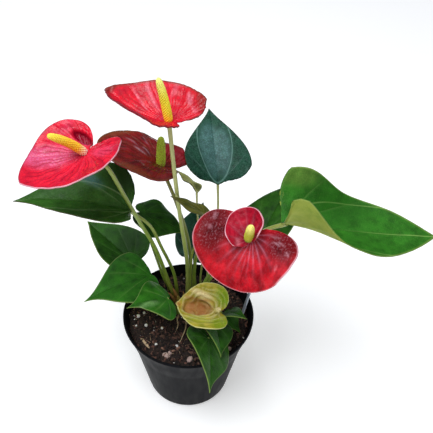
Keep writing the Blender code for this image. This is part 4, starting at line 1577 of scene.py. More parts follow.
@dataclass
class Crown:
    """The stump that the stems rise from, with dry sheaths and a loose dry root."""

    stump: StalkFinish = StalkFinish("crown_rind", "#4A3A1C", "#7A6A2C", "#8A7A34")
    papery: StalkFinish = StalkFinish("dry_sheath", "#4A3016", "#7E5A2A", "#A87A44")
    root: StalkFinish = StalkFinish("dry_root", "#6A5034", "#B49A74", "#C8B088")
    step: float = 0.8
    sides: int = 18

    def sweep(self, name: str, points: list, thick: list[float], tree: NodeTree,
              finish: StalkFinish, lumps: float = 0.0) -> Mesh:
        """Sweeps one organic bar.

        Args:
            name: name of the mesh
            points: points that it passes, in mm
            thick: its radius at even steps along it
            tree: the tube tree
            finish: its finish
            lumps: share by which its radius varies

        Returns:
            the mesh
        """
        path = curve_through(points, self.step)
        share = np.linspace(0, 1, len(path))
        radii = np.interp(share, np.linspace(0, 1, len(thick)), thick)
        uneven = np.array([noise.noise(Vector((i * 0.45, 5.0, 2.0))) for i in range(len(path))])
        source = path_mesh(name, path, radii * (1 + lumps * uneven))
        return grow(name, source, tree, {"Sides": self.sides, "Finish": finish.material()})

    def build(self, tree: NodeTree) -> None:
        """Builds the stump, its sheaths and the root."""
        stump = self.sweep("crown", [(-6.5, 11.3, 66), (-6.5, 11.3, 76), (-8, 10.6, 84), (-9.5, 10, 91)],
                           [3.2, 3.4, 3.3, 3.2, 2.7, 1.9, 0.7], tree, self.stump, 0.35)
        settle(show("crown_stump", stump), "crown", "crown")
        sheaths = [((-9, 14, 80), (-11.5, 15, 88), (-14.0, 15.5, 95), 1.7),
                   ((-11, 12.5, 79), (-14, 13, 86), (-17.5, 14, 91), 1.5),
                   ((-6, 9, 79), (-7.5, 6.5, 86), (-10.5, 3.5, 92), 1.5),
                   ((-4, 13, 79), (-4.2, 13.5, 87), (-5.5, 14, 93), 1.4)]
        for number, (low, mid, high, size) in enumerate(sheaths, 1):
            mesh = self.sweep(f"dry_sheath_{number}", [low, mid, high],
                              [size, 1.1 * size, 0.9 * size, 0.6 * size, 0.1], tree, self.papery, 0.3)
            settle(show(f"dry_sheath_{number}", mesh), "crown")
        roots = [[(-3.5, 6, 76), (-2, -3, 80), (-1.5, -12, 79.5), (-4.0, -20, 76.8), (-5.5, -24, 75.4)],
                 [(-8, 4, 76), (-9, -3, 78.5), (-8.0, -9, 78.0), (-9.5, -14, 75.6)]]
        for number, points in enumerate(roots, 1):
            mesh = self.sweep(f"dry_root_{number}", points, [0.7, 0.55, 0.5, 0.42, 0.15], tree, self.root,
                              0.3)
            settle(show(f"dry_root_{number}", mesh), "crown")


@dataclass
class Label:
    """Plain plant label stuck in at the side of the pot."""

    low: tuple[float, float, float] = (41.5, 6.5, 62.0)
    high: tuple[float, float, float] = (55.3, 15.0, 136.0)
    edge: tuple[float, float, float] = (0.05, -0.72, 0.69)
    width: float = 9.0
    sheet: float = 1.0
    rounding: float = 0.22
    finish: LabelFinish = LabelFinish()

    def build(self) -> Object:
        """Builds the label with rounded edges and a pointed foot."""
        low, high = Vector(self.low), Vector(self.high)
        along = (high - low).normalized()
        edge = Vector(self.edge)
        edge = (edge - along * edge.dot(along)).normalized()
        thin = along.cross(edge)
        length = (high - low).length
        half = self.width / 2
        outline = [(0, 0.3 * half), (10, half), (length - 1.6, half), (length - 0.5, half - 0.5),
                   (length, half - 1.6)]
        outline += [(a, -b) for a, b in outline[::-1]]
        verts = [low + along * a + edge * b + thin * (side * self.sheet / 2)
                 for side in (-1, 1) for a, b in outline]
        n = len(outline)
        faces = [tuple(range(n - 1, -1, -1)), tuple(range(n, 2 * n))]
        faces += [(k, (k + 1) % n, n + (k + 1) % n, n + k) for k in range(n)]
        mesh = mesh_of("label_sheet", np.array([tuple(v) for v in verts]), faces)
        face_outward(mesh)
        mesh.materials.append(self.finish.material())
        piece = show("label_sheet", mesh)
        round_edge = piece.modifiers.new("Edge", "BEVEL")
        round_edge.width = self.rounding * MM
        round_edge.segments = 2
        round_edge.harden_normals = True
        return settle(piece, "label", "plant_label")


@dataclass
class Studio:
    """Pale floor, soft light and the photograph's camera.

    place and aim are in metres, down and roll in degrees, and the floor's sizes in mm.
    """

    focal_px: float = 600.0
    frame_px: float = 433.0
    place: tuple[float, float, float] = (0.0191, -0.3042, 0.4685)
    down: float = 42.5
    roll: float = 2.5
    floor_half: float = 1400.0
    floor_z: float = -0.2
    aim: tuple[float, float, float] = (0.0, 0.0, 0.15)

    def camera(self) -> None:
        """Sets the camera where the photograph was taken from."""
        data = bpy.data.cameras.new("studio_camera")
        data.sensor_width = 36.0
        data.lens = self.focal_px * data.sensor_width / self.frame_px
        eye = bpy.data.objects.new("studio_camera", data)
        bpy.context.scene.collection.objects.link(eye)
        tilt = Matrix.Rotation(math.radians(90 - self.down), 4, "X")
        roll = Matrix.Rotation(math.radians(self.roll), 4, "Z")
        eye.matrix_world = Matrix.Translation(self.place) @ tilt @ roll
        bpy.context.scene.camera = eye

    def lamp(self, name: str, place: tuple[float, float, float], size: float, power: float,
             colour: str) -> None:
        """Adds a square soft light that looks at the plant.

        Args:
            name: name of the light
            place: where it stands, in metres
            size: side of the square in metres
            power: watts
            colour: sRGB hex
        """
        data = bpy.data.lights.new(name, "AREA")
        data.size = size
        data.energy = power
        data.color = linear(colour)[:3]
        light = bpy.data.objects.new(name, data)
        bpy.context.scene.collection.objects.link(light)
        way = Vector(self.aim) - Vector(place)
        light.matrix_world = Matrix.Translation(place) @ way.to_track_quat("-Z", "Y").to_matrix().to_4x4()

    def floor(self) -> None:
        """Lays the paper floor just under the pot."""
        half = self.floor_half
        corners = ((-half, -half), (half, -half), (half, half), (-half, half))
        verts = np.array([(x, y, self.floor_z) for x, y in corners])
        mesh = mesh_of("studio_floor", verts, [(0, 1, 2, 3)])
        mesh.materials.append(FloorFinish().material())
        show("studio_floor", mesh)

    def sky(self) -> None:
        """Lights the world, bright overhead and dim at the sides."""
        world = bpy.data.worlds.new("studio_world")
        world.use_nodes = True
        tree = world.node_tree
        ray = add(tree, "ShaderNodeTexCoord").outputs["Generated"]
        rise = add(tree, "ShaderNodeSeparateXYZ", {"Vector": ray}).outputs["Z"]
        row = (rise, 0.5, 0.95, 0.12, 1.0)
        power = add(tree, "ShaderNodeMapRange", dict(zip(RANGE, row))).outputs["Result"]
        fill(tree, tree.nodes["Background"], {"Color": linear("#F2F6FF"), "Strength": power})
        bpy.context.scene.world = world

    def build(self) -> None:
        """Sets up floor, world, lights and camera."""
        self.floor()
        self.sky()
        self.lamp("overhead_softbox", (-0.34, -0.22, 1.25), 0.8, 11.0, "#F8FAFF")
        self.lamp("front_fill", (0.5, -1.0, 0.8), 1.1, 3.5, "#FFFAF4")
        bpy.context.scene.view_settings.view_transform = "Standard"
        self.camera()


# Finishes of leaf blades: a waxy cuticle above gives a soft sheen, and the undersides are dull and paler
# Stains of the dark and night cuticles are painted shade where other parts overhang the leaf
LEAF_DARK = CuticleFinish(
    "leaf_cuticle_dark", "#163A0A", "#2C5E14", "#6E9A50", "#8FA84E", stain_and_shade="#10240A", rim_share=0.4)
# Tints of the night, blue, lyre and green cuticles are painted sheen and reflection
LEAF_NIGHT = CuticleFinish(
    "leaf_cuticle_night", "#1E480C", "#32641C", "#9CBC84", "#3E5A22", stain_and_shade="#14240A", tint_and_sheen="#5A8490",
    collective=(39, 39, 15))
LEAF_BLUE = CuticleFinish(
    "leaf_cuticle_blue", "#143A2A", "#265A3E", "#8FBCB0", "#3A3A24", tint_and_sheen="#6E9CA0", gloss=0.2, coat=0.06,
    rough_low=0.26)
LEAF_LYRE = CuticleFinish(
    "leaf_cuticle_lyre", "#0F3424", "#1E4E38", "#8FBCB0", "#3A3A24", tint_and_sheen="#7AA6AA", gloss=0.15, coat=0.04,
    rough_low=0.26, mottle=5.0, grain=1.7, net=0.1, sheen_break=0.15, collective=(31, 31, 14))
LEAF_GREEN = CuticleFinish(
    "leaf_cuticle_green", "#1C5410", "#327A1C", "#9CC46A", "#C4D088", tint_and_sheen="#9CCC84", rim_share=0.4)
# The lush cuticle's tint is its own yellow-green
LEAF_LUSH = CuticleFinish(
    "leaf_cuticle_lush", "#1C560E", "#307A1C", "#A4CC6E", "#A9BC62", stain_and_shade="#124408", tint_and_sheen="#86A04A",
    rim_share=0.4, collective=(50, 50, 21))
LEAF_OLIVE = CuticleFinish("leaf_cuticle_olive", "#3E4416", "#66682A", "#A89C54", "#5E5420")
LEAF_PALE = CuticleFinish("leaf_cuticle_pale", "#949A54", "#B2B670", "#C4C68A", "#7E7E44", stain_and_shade="#2E3A1A")
LEAF_BELOW = CuticleFinish(
    "leaf_underside", "#7E9436", "#9CA848", "#B9C772", "#A9BC62", coat=0.0, rough_low=0.5, rough_high=0.65)
LEAF_BELOW_DARK = CuticleFinish(
    "leaf_underside_dark", "#34561E", "#4E7028", "#7E9A4C", "#6E8A3C", coat=0.0, rough_low=0.5,
    rough_high=0.65)
LEAF_RIM = CuticleFinish("leaf_margin", "#4E6A26", "#728A40", "#7E9648", "#7E9648", coat=0.1)
LEAF_RIM_DARK = CuticleFinish("leaf_margin_dark", "#2E3A1E", "#474A28", "#5E5A34", "#5E5A34", coat=0.1)

# Finishes of spathes: thick wax over coloured cells gives a lacquered gloss that breaks on the pleats
# Scarlet wax: tints are painted highlights, stains also paint shade in the furrows, the pale tone partly
# highlight
SPATHE_SCARLET = CuticleFinish(
    "spathe_wax_scarlet", "#BE0A28", "#F4162E", "#86081E", "#7E3428", flush_and_highlight="#E04860", flush_and_highlight_share=0.22,
    stain_and_shade="#82241E", tint_and_sheen="#F09CB0", vein_share=0.45, rim_share=1.0, rim_from=0.93, gloss=0.26,
    rough_low=0.2, rough_high=0.34, coat=0.04, mottle=10.0, grain=2.1, net=0.3)
# Red wax: tints are painted sheen, stains also paint shade in the furrows and the curl, the pale tone partly
# highlight
SPATHE_RED = CuticleFinish(
    "spathe_wax_red", "#C40E2C", "#FA1E3A", "#8A0830", "#9A3048", flush_and_highlight="#E85A78", flush_and_highlight_share=0.3,
    stain_and_shade="#8C0424", tint_and_sheen="#D676A8", vein_share=0.5, rim_share=0.8, gloss=0.26, rough_low=0.2,
    rough_high=0.34, coat=0.04, mottle=10.0, grain=2.1, net=0.26)
# Crimson wax: tints, glints and the pale pink hem are painted highlights, the pale fan by the stem partly so
SPATHE_DEEP = CuticleFinish(
    "spathe_wax_crimson", "#8A0812", "#D01826", "#D8788C", "#F0B0B8", flush_and_highlight="#F0A0BC", flush_and_highlight_share=0.9,
    stain_and_shade="#560C12", tint_and_sheen="#D8A0AC", vein_share=0.1, rim_share=0.7, rim_from=0.98, gloss=0.1,
    rough_low=0.18, rough_high=0.3, coat=0.02, mottle=8.0, grain=1.6, net=0.05, glint=0.34, spread=0.12)
# Lobe wax: tints, glints and the pale pink hem are painted highlights, the pale tone by the stem partly so
SPATHE_LOBE = CuticleFinish(
    "spathe_wax_lobe", "#8E041E", "#BC0A2A", "#E08098", "#F8C0CC", flush_and_highlight="#E890A8", flush_and_highlight_share=0.4,
    stain_and_shade="#5E061A", tint_and_sheen="#D8A0AC", vein_share=0.3, rim_share=0.9, gloss=0.1, rough_low=0.2,
    rough_high=0.34, coat=0.02, mottle=6.0, grain=1.4, net=0.03, glint=0.4)
# Maroon wax: tints are painted highlight streaks, and stains also paint shade in the furrows of the pleats
SPATHE_MAROON = CuticleFinish(
    "spathe_wax_maroon", "#560C0A", "#8A1A16", "#B04A3A", "#6A4A24", flush_and_highlight="#8A4426", flush_and_highlight_share=0.5,
    stain_and_shade="#981428", tint_and_sheen="#C094A0", vein_share=0.3, rim_share=0.7, rim_from=0.94, gloss=0.3,
    rough_low=0.18, rough_high=0.3, coat=0.06, mottle=8.0, grain=1.8, spread=0.12)
# Aged wax: its green tint is its own; stains also paint shade in wrinkles and cup edge, cream paints lit
# crests
SPATHE_AGED = CuticleFinish(
    "spathe_wax_aged", "#7E8416", "#B8A634", "#D8CE6A", "#DCD88A", flush_and_highlight="#F0E0A8", flush_and_highlight_share=0.6,
    stain_and_shade="#A87440", tint_and_sheen="#5E9A0E", vein_share=0.2, rim_share=0.9, rough_high=0.5, mottle=6.0, grain=1.4,
    net=0.08)
SPATHE_BELOW = CuticleFinish(
    "spathe_underside_red", "#9A1428", "#C02A38", "#8A3038", "#8A2030", coat=0.05, rough_low=0.4,
    rough_high=0.55)
SPATHE_BELOW_BROWN = CuticleFinish(
    "spathe_underside_brown", "#5A3020", "#7A4A2C", "#8A5A34", "#6A3A24", coat=0.05, rough_low=0.45,
    rough_high=0.6)
SPATHE_BELOW_GREEN = CuticleFinish(
    "spathe_underside_green", "#6A8A20", "#9AAE3A", "#B8C05A", "#A8B050", coat=0.05, rough_low=0.45,
    rough_high=0.6)
# Pale pink margin of the red and crimson spathes and the lobe: a painted highlight on the rim
SPATHE_RIM_HIGHLIGHT = CuticleFinish("spathe_margin_pink_highlight", "#D88090", "#F0B0BC", "#F0B0BC", "#F0B0BC", coat=0.1)
SPATHE_RIM_DARK = CuticleFinish("spathe_margin_dark", "#6A1420", "#8A2030", "#8A2030", "#8A2030", coat=0.1)
SPATHE_RIM_GREEN = CuticleFinish(
    "spathe_margin_green", "#B8B858", "#D8D890", "#D8D890", "#D8D890", coat=0.1)

# Finishes of stems: a smooth rind gives a long satin highlight
STALK_GREEN = StalkFinish("stalk_rind_green", "#6E6A2C", "#7C9A34", "#98A84E")
STALK_PALE = StalkFinish("stalk_rind_pale", "#86903E", "#A4B45C", "#B6B674")
STALK_OLIVE = StalkFinish("stalk_rind_olive", "#6A5A26", "#768A30", "#7E7A34")

# Finishes of spadices: tight waxy florets give a fine matt grain; the fourth colour is painted shade in the
# clefts
SPADIX_YELLOW = SpadixFinish("spadix_florets_yellow", "#FFDC2A", "#FFF83E", "#FFFF8C", "#FCDE30", "#FCE63A")
SPADIX_ORANGE = SpadixFinish("spadix_florets_orange", "#FFEADA", "#FFD82E", "#FFF04E", "#EEA816", "#FAC022")
SPADIX_GREEN = SpadixFinish(
    "spadix_florets_green", "#B4CC3C", "#BCD838", "#AECA34", "#7E9C24", "#9A4226", speck_share=0.5)
SPADIX_LIME = SpadixFinish("spadix_florets_lime", "#6E8420", "#CCD03A", "#FFF68A", "#8A8A1C", "#B8A020")
SPADIX_BROWN = SpadixFinish("spadix_florets_spent", "#B8A050", "#D8CC7A", "#E8DCA0", "#8A6A30", "#A07838")

# Reliefs of spathes
SPATHE_RELIEF = Relief(
    veins=(18, 40, 64, 92, 122, 150), arcing=14, groove=0.3, cushion=0.9, pinnate=0.0, ripple=0.45,
    ripples=4.0, pleat=0.3, swell=1.2, furrow_shade=0.9, cells=18, rings=34, fade=3.0)
PUCKERED_RELIEF = replace(SPATHE_RELIEF, pleat=0.22, crimp=0.26, furrow_shade=0.5)
FAN_RELIEF = Relief(
    veins=(10, 22, 36, 52, 70, 92, 118, 146), arcing=16, groove=-0.08, cushion=0.22, pinnate=0.0,
    ripple=0.3, ripples=4.0, pleat=0.14, pleats=2.0, swell=1.8, flush_fade=2.6, cells=12, rings=34,
    fade=1.5)
LOBE_RELIEF = Relief(
    veins=(22, 50, 80, 112, 145), arcing=10, pinnate=0.0, ripple=0.25, pleat=0.1, pleats=2.0, swell=0.6,
    cells=12, rings=28, fade=3.0)
WITHERED_RELIEF = Relief(
    veins=(30, 75, 125), arcing=10, groove=0.1, cushion=0.2, pinnate=0.0, swell=0.8, cells=16, rings=40,
    fade=2.0)

# Reliefs of leaf blades
LEAF_RELIEF = Relief(groove=0.25, lateral=0.35)
LYRE_RELIEF = Relief(veins=(48, 95), arcing=34, lateral=0.3, groove=0.25, cells=16)
LARGE_RELIEF = Relief(
    lateral=0.3, cells=12, rings=40, cushion=0.7, groove=0.5, pinnate=0.2, pinnate_gap=10.0, swell=0.8)
SMALL_RELIEF = Relief(
    veins=(30, 70, 120), lateral=0.45, groove=0.25, cushion=0.35, pinnate=0.08, pinnate_gap=5.0, swell=0.3,
    cells=8, rings=20)


# Shapes of the spathes and of the lobe that curls over the fourth, the same values as in the part's source
SPATHE_1 = BladeShape(
    -13, 10, 258.5, length=47.5, width=60, widest=0.17, lobe=0.36, skew=-0.11, tip=0.0, tipw=0.18,
    arch=-40, back=9, fold=15, fold_tip=25, curl=21, lift_l=-6, lift_r=4, wave=0.5, phase=26,
    heading=161, pitch=-6.5, roll=8)
SPATHE_2 = BladeShape(
    -65, -1, 240, length=48, width=63, widest=0.16, lobe=0.36, skew=0.03, tip=0.07, tipw=0.22, arch=-38,
    back=7, fold=9, fold_tip=0, curl=29, lift_l=-15, lift_r=15, twist=-5, wave=-0.2, phase=22,
    heading=231, pitch=-17, roll=12)
SPATHE_3 = BladeShape(
    -22.5, 37, 202.5, length=49.5, width=58, widest=0.2, lobe=0.36, skew=-0.18, tip=0.0, tipw=0.22,
    arch=12, back=23, fold=25, fold_tip=14, curl=-20, lift_l=6, twist=-5.5, wave=-1.1, phase=-3,
    heading=194, pitch=34.5, roll=3.5)
SPATHE_4 = BladeShape(
    43, -28.5, 200, length=36.5, width=75, widest=0.155, lobe=0.23, skew=-0.05, tip=0.07, tipw=0.28,
    arch=24, back=-6.5, fold=16.5, fold_tip=20.5, curl=10, lift_r=5.5, twist=-5, wave=-1.25, phase=-15,
    heading=248.5, pitch=-35.5, roll=7)
CURLED_LOBE = BladeShape(
    40, -31.9, 200.3, length=21, width=31, lobe=0.19, skew=0.09, tip=0.02, tipw=0.4, arch=-7, back=3,
    fold=30, fold_tip=8, curl=38, lift_l=-7, lift_r=4, twist=-7, wave=1.0, phase=-14, heading=95,
    pitch=38, roll=-22)
SPATHE_5 = BladeShape(
    22, -23, 116, length=32, width=40, widest=0.2, lobe=0.27, skew=0.04, tip=0.14, tipw=0.16, arch=25,
    back=-6, fold=14, fold_tip=12, curl=20, lift_l=1, lift_r=1, twist=1, wave=1.2, phase=43, pocket=4.5,
    heading=170, pitch=6, roll=-19)


def spathes() -> list[Blade]:
    """Lists the five spathes and the curled lobe."""
    return [
        Blade("flower_1_spathe", "spathe_red", SPATHE_1, SPATHE_SCARLET, SPATHE_BELOW, SPATHE_RIM_DARK,
              PUCKERED_RELIEF, SPATHE_SHEET,
              # The tinted patches are painted highlights
              (Patch(46.5, -1, 4, 9, stain_and_shade=0.9, ridge=0.4, ridges=1.5, crisp=8),
               Patch(-19, -15, 4, 14, 30, stain_and_shade=0.9, ridge=0.4), Patch(21, -15, 13, 1.8, -38, tint_and_sheen=0.5),
               Patch(26, -9, 12, 1.0, -28, tint_and_sheen=0.4), Patch(5.5, -24, 2.2, 6, tint_and_sheen=0.35),
               Patch(-8, -19.5, 2, 5, 25, tint_and_sheen=0.7), Patch(-14, -11, 1.6, 4, 40, tint_and_sheen=0.4),
               Patch(-12, -21, 12, 12, stain_and_shade=0.3))),
        Blade("flower_2_spathe", "spathe_red", SPATHE_2, SPATHE_RED, SPATHE_BELOW, SPATHE_RIM_HIGHLIGHT,
              SPATHE_RELIEF, SPATHE_SHEET,
              # The first patch is painted shade in the curl beside the spadix, the fifth painted shade by the
              # spadix's foot, and the tinted ones painted sheen and highlights
              (Patch(-7, -9.5, 3.6, 7.8, 4, stain_and_shade=1.5, dent=3.8, crisp=10),
               Patch(-4.4, -5.5, 1.0, 4, 10, tint_and_sheen=0.7), Patch(20, -16, 18, 10, -38, tint_and_sheen=0.75),
               Patch(-6, -22, 6, 4, tint_and_sheen=0.2), Patch(4, -4, 5, 3, -40, stain_and_shade=0.7),
               Patch(-6, 14, 5, 11, 20, tint_and_sheen=0.3))),
        Blade("flower_3_spathe", "spathe_maroon", SPATHE_3, SPATHE_MAROON, SPATHE_BELOW_BROWN,
              SPATHE_RIM_DARK, SPATHE_RELIEF, SPATHE_SHEET,
              # The narrow tinted patches are painted highlight streaks
              (Patch(-16, -14, 9, 10, stain_and_shade=0.8), Patch(30, -22, 18, 4, 38, flush_and_highlight=1.4),
               Patch(27, 21.5, 13, 3.5, -18, flush_and_highlight=1.4), Patch(17, -7, 5, 1, -22, tint_and_sheen=0.8),
               Patch(12, -19, 4, 1, -58, tint_and_sheen=0.8), Patch(23, -13, 5, 0.9, -30, tint_and_sheen=0.5),
               Patch(12, -8, 4, 0.9, -40, tint_and_sheen=0.9), Patch(17, 7, 6, 0.8, 25, tint_and_sheen=0.5))),
        Blade("flower_4_spathe", "spathe_deep_red", SPATHE_4, SPATHE_DEEP, SPATHE_BELOW, SPATHE_RIM_HIGHLIGHT,
              FAN_RELIEF, SPATHE_SHEET,
              # The small tinted patches are painted highlights
              (Patch(2, -26, 16, 11, stain_and_shade=1.1), Patch(2, 25, 9, 14, stain_and_shade=1.0),
               Patch(-3.5, -28, 2.4, 1.2, tint_and_sheen=0.6), Patch(3.4, -28.6, 1.2, 1.8, tint_and_sheen=0.5),
               Patch(1.2, 22, 0.8, 5.5, tint_and_sheen=0.6), Patch(-2, 18, 0.6, 4, tint_and_sheen=0.4),
               Patch(6, 30, 1.0, 2.2, tint_and_sheen=0.6), Patch(15, 25, 2, 1.2, tint_and_sheen=0.35),
               Patch(12, 29, 8, 9, tint_and_sheen=0.06))),
        Blade("flower_4_curled_lobe", "spathe_crimson", CURLED_LOBE, SPATHE_LOBE, SPATHE_BELOW, SPATHE_RIM_HIGHLIGHT,
              LOBE_RELIEF, SPATHE_SHEET,
              # The tinted patch is a painted highlight
              (Patch(-2, 7.5, 3, 2, tint_and_sheen=0.4), Patch(3, 3, 7, 5, 50, stain_and_shade=0.5))),
        Blade("flower_5_spathe", "spathe_aged", SPATHE_5, SPATHE_AGED, SPATHE_BELOW_GREEN, SPATHE_RIM_GREEN,
              WITHERED_RELIEF, SPATHE_SHEET,
              # The wrinkles' crests and troughs are painted highlight and painted shade, and the thin dark
              # line along the cup's upper edge is a painted shadow
              (Patch(12, -1, 19, 14, ridge=0.6, ridges=4.2, crest_highlight=1.0, trough_shade=0.7),
               Patch(15, 0.5, 12, 6.5, stain_and_shade=1.1, dent=3.0, ridge=0.4, ridges=2.4, crest_highlight=0.8, crisp=7),
               Patch(15, -6.4, 11, 1.0, -3, stain_and_shade=1.3, crisp=2), Patch(21, 5.5, 6, 0.8, -14, stain_and_shade=1.0),
               Patch(-4, -12, 8, 9, tint_and_sheen=0.9), Patch(-6, 12, 8, 8, tint_and_sheen=0.8),
               Patch(9, 12, 10, 4, tint_and_sheen=0.4), Patch(13, -10, 9, 2.4, -12, flush_and_highlight=1.3),
               Patch(31, 0.5, 3, 3, stain_and_shade=0.8))),
    ]


def stalks() -> list[Stalk]:
    """Lists the five flower stalks."""
    return [
        Stalk("flower_1_stalk", 1.7, (-2, 21), [(-2.5, 19, 123), (-7, 12, 178), (-10, 7, 222)],
              SPATHE_1, STALK_PALE, 1.15),
        Stalk("flower_2_stalk", 1.6, (-12, 17),
              [(-17, 17, 99), (-26, 15, 139), (-36, 10, 172), (-44.5, 5, 201), (-53, 1, 228)],
              SPATHE_2, STALK_GREEN, 1.1),
        Stalk("flower_3_stalk", 1.6, (-2, 28), [(0, 25, 117), (-2, 26, 139), (-6, 27, 158), (-13, 31, 180)],
              SPATHE_3, STALK_OLIVE),
        Stalk("flower_4_stalk", 1.5, (5, 20), [(3, 20, 94), (6, 14, 139), (22, 4, 169)],
              SPATHE_4, STALK_GREEN, 1.1),
        Stalk("flower_5_stalk", 1.5, (0, 9), [(9, 1, 90), (18.5, -13.5, 101)], SPATHE_5, STALK_GREEN, 1.1),
    ]


def spadices() -> list[Spadix]:
    """Lists the five spadices."""
    return [
        Spadix("flower_1_spadix", "spadix_yellow", SPATHE_1, (-6, 1.5, 29.5), 28, 2.6, SPADIX_YELLOW,
               (0.4, 0, 0.3)),
        Spadix("flower_2_spadix", "spadix_orange", SPATHE_2, (-18, -10, 19), 26.5, 2.7, SPADIX_ORANGE,
               (0.5, 0.3, 1.2)),
        Spadix("flower_3_spadix", "spadix_green", SPATHE_3, (0.5, 5, 24.5), 20.5, 3.1, SPADIX_GREEN),
        Spadix("flower_4_spadix", "spadix_yellow", CURLED_LOBE, (0.3, -6.6, 16.5), 17.5, 2.8, SPADIX_LIME),
        Spadix("flower_5_spadix", "spadix_brown", SPATHE_5, (2, -5, 8), 7, 1.8, SPADIX_BROWN, floret=0.5),
    ]


# Shapes of the leaf blades, by the number of the leaf, the same values as in the part's source
LEAF_SHAPES: dict[str, BladeShape] = {
    "01": BladeShape(
        19, 48, 180, length=68, width=56, widest=0.15, lobe=0.01, skew=-0.01, arch=17, back=26, fold=30,
        fold_tip=14, curl=-9, lift_l=2, lift_r=7, twist=-4, wave=1.1, phase=-13, heading=98, pitch=32,
        roll=7),
    "02": BladeShape(
        65, -17, 202, length=107, width=72, widest=-0.01, lobe=0.03, skew=-0.03, tip=0.12, tipw=0.14,
        arch=-8, back=-9, fold=28, fold_tip=-7, curl=56, lift_l=-14, lift_r=6, twist=25, wave=6.2, phase=38,
        heading=6, pitch=-13),
    "03": BladeShape(
        54, 18, 153, length=69, width=45, tip=0.28, tipw=0.11, arch=56, fold=14, fold_tip=4, curl=-4,
        lift_l=2, twist=2, wave=1.5, phase=-6, heading=70, pitch=33, roll=-19),
    "04": BladeShape(
        -43, 14, 179, length=84, width=61, widest=0.16, lobe=0.01, skew=0.02, tip=0.28, arch=31, back=29,
        fold=27, fold_tip=20, curl=8, lift_l=1, lift_r=16, twist=3, wave=-1.3, heading=183, pitch=19,
        roll=-8),
    "05": BladeShape(
        -51.5, 44, 96, length=54.5, width=51.5, widest=0.15, lobe=0.13, skew=0.01, tip=0.21, tipw=0.14,
        arch=-5, back=5, fold_tip=18, curl=9, lift_l=-2, lift_r=3, twist=1.5, wave=0.3, phase=-10,
        heading=142.5, pitch=9, roll=9.5),
    "06": BladeShape(
        -38, 39, 154, length=37, width=38, widest=0.19, sinus=0.01, notch=0.03, tip=0.24, tipw=0.12,
        arch=27, fold=2, fold_tip=2, curl=-12, lift_l=-4, lift_r=1, twist=9, wave=2.7, phase=-11,
        heading=-3, pitch=-15, roll=-1),
    "07": BladeShape(
        -33, 19.5, 104, length=56, width=52, lobe=0.06, skew=0.02, tip=0.33, tipw=0.06, arch=27.5, back=1,
        fold=9.5, curl=3.5, lift_l=1, lift_r=-1, twist=-6, wave=-0.3, heading=206.5, pitch=6, roll=-1.5),
    "08": BladeShape(
        -16, -7, 108, length=36, width=37, widest=0.17, lobe=0.16, tip=0.38, tipw=0.05, arch=38, back=-8,
        fold=-4, fold_tip=3, curl=-2, lift_l=-7, lift_r=1, twist=2, wave=-0.8, phase=8, heading=217,
        pitch=35, roll=-9),
    "09": BladeShape(
        17, -35, 97, length=47, width=39, widest=0.16, lobe=0.23, skew=-0.01, tip=0.32, tipw=0.06, arch=12,
        fold=2, fold_tip=8, curl=-6, lift_l=2, lift_r=-6, twist=-15, wave=-1.0, phase=-39, heading=277,
        pitch=8, roll=-38),
    "10": BladeShape(
        21, -22, 100, length=32, width=27, widest=0.19, lobe=0.15, tip=0.27, tipw=0.07, arch=19, fold=7,
        fold_tip=11, lift_r=-1, twist=-6, wave=0.7, phase=-5, heading=285, pitch=10, roll=-31),
    "11": BladeShape(
        26, -11, 97, length=27, width=20, widest=0.2, lobe=0.1, tip=0.26, tipw=0.07, arch=42, fold=0,
        fold_tip=11, curl=-1, lift_l=-3, lift_r=-1, twist=11, wave=0.2, phase=-8, heading=-25, pitch=47,
        roll=-25),
    "12": BladeShape(
        0, 38, 117, length=41, width=36, lobe=0.23, tip=0.21, tipw=0.12, arch=9, fold=0, fold_tip=2,
        curl=-12, lift_l=-3, twist=1, heading=68, pitch=64, roll=-5),
    "13": BladeShape(
        9.5, 4, 189, length=26, width=16.5, lobe=0.22, skew=-0.03, tip=0.28, tipw=0.12, arch=6, fold=17,
        fold_tip=4, curl=-13, lift_l=-3, twist=-1.5, wave=0.9, phase=11, heading=178, pitch=34, roll=14),
    "14": BladeShape(
        4, 27.5, 188, length=22.5, width=14.5, lobe=0.05, skew=0.05, tip=0.27, tipw=0.11, arch=25, fold=30,
        curl=-10, lift_l=-1, lift_r=-2, twist=-5.5, wave=1.2, phase=-36, heading=131.5, pitch=31.5,
        roll=35.5),
    "15": BladeShape(
        29, -4, 88, length=20, width=15, widest=0.19, lobe=0.09, tip=0.3, tipw=0.07, arch=24, fold=22,
        curl=11, lift_l=2, lift_r=3, twist=-3, wave=-2.0, phase=59, heading=-38, pitch=-17, roll=-8),
}


class Tone(Enum):
    """Choice of leaf finish: face above, face below, margin and slot."""

    DARK = (LEAF_DARK, LEAF_BELOW_DARK, LEAF_RIM, "leaf_dark")
    NIGHT = (LEAF_NIGHT, LEAF_BELOW_DARK, LEAF_RIM_DARK, "leaf_dark")
    BLUE = (LEAF_BLUE, LEAF_BELOW_DARK, LEAF_RIM_DARK, "leaf_dark")
    LYRE = (LEAF_LYRE, LEAF_BELOW_DARK, LEAF_RIM_DARK, "leaf_dark")
    GREEN = (LEAF_GREEN, LEAF_BELOW, LEAF_RIM, "leaf_green")
    LUSH = (LEAF_LUSH, LEAF_BELOW, LEAF_RIM, "leaf_green")
    OLIVE = (LEAF_OLIVE, LEAF_BELOW, LEAF_RIM_DARK, "leaf_olive")
    PALE = (LEAF_PALE, LEAF_BELOW, LEAF_RIM_DARK, "leaf_olive")


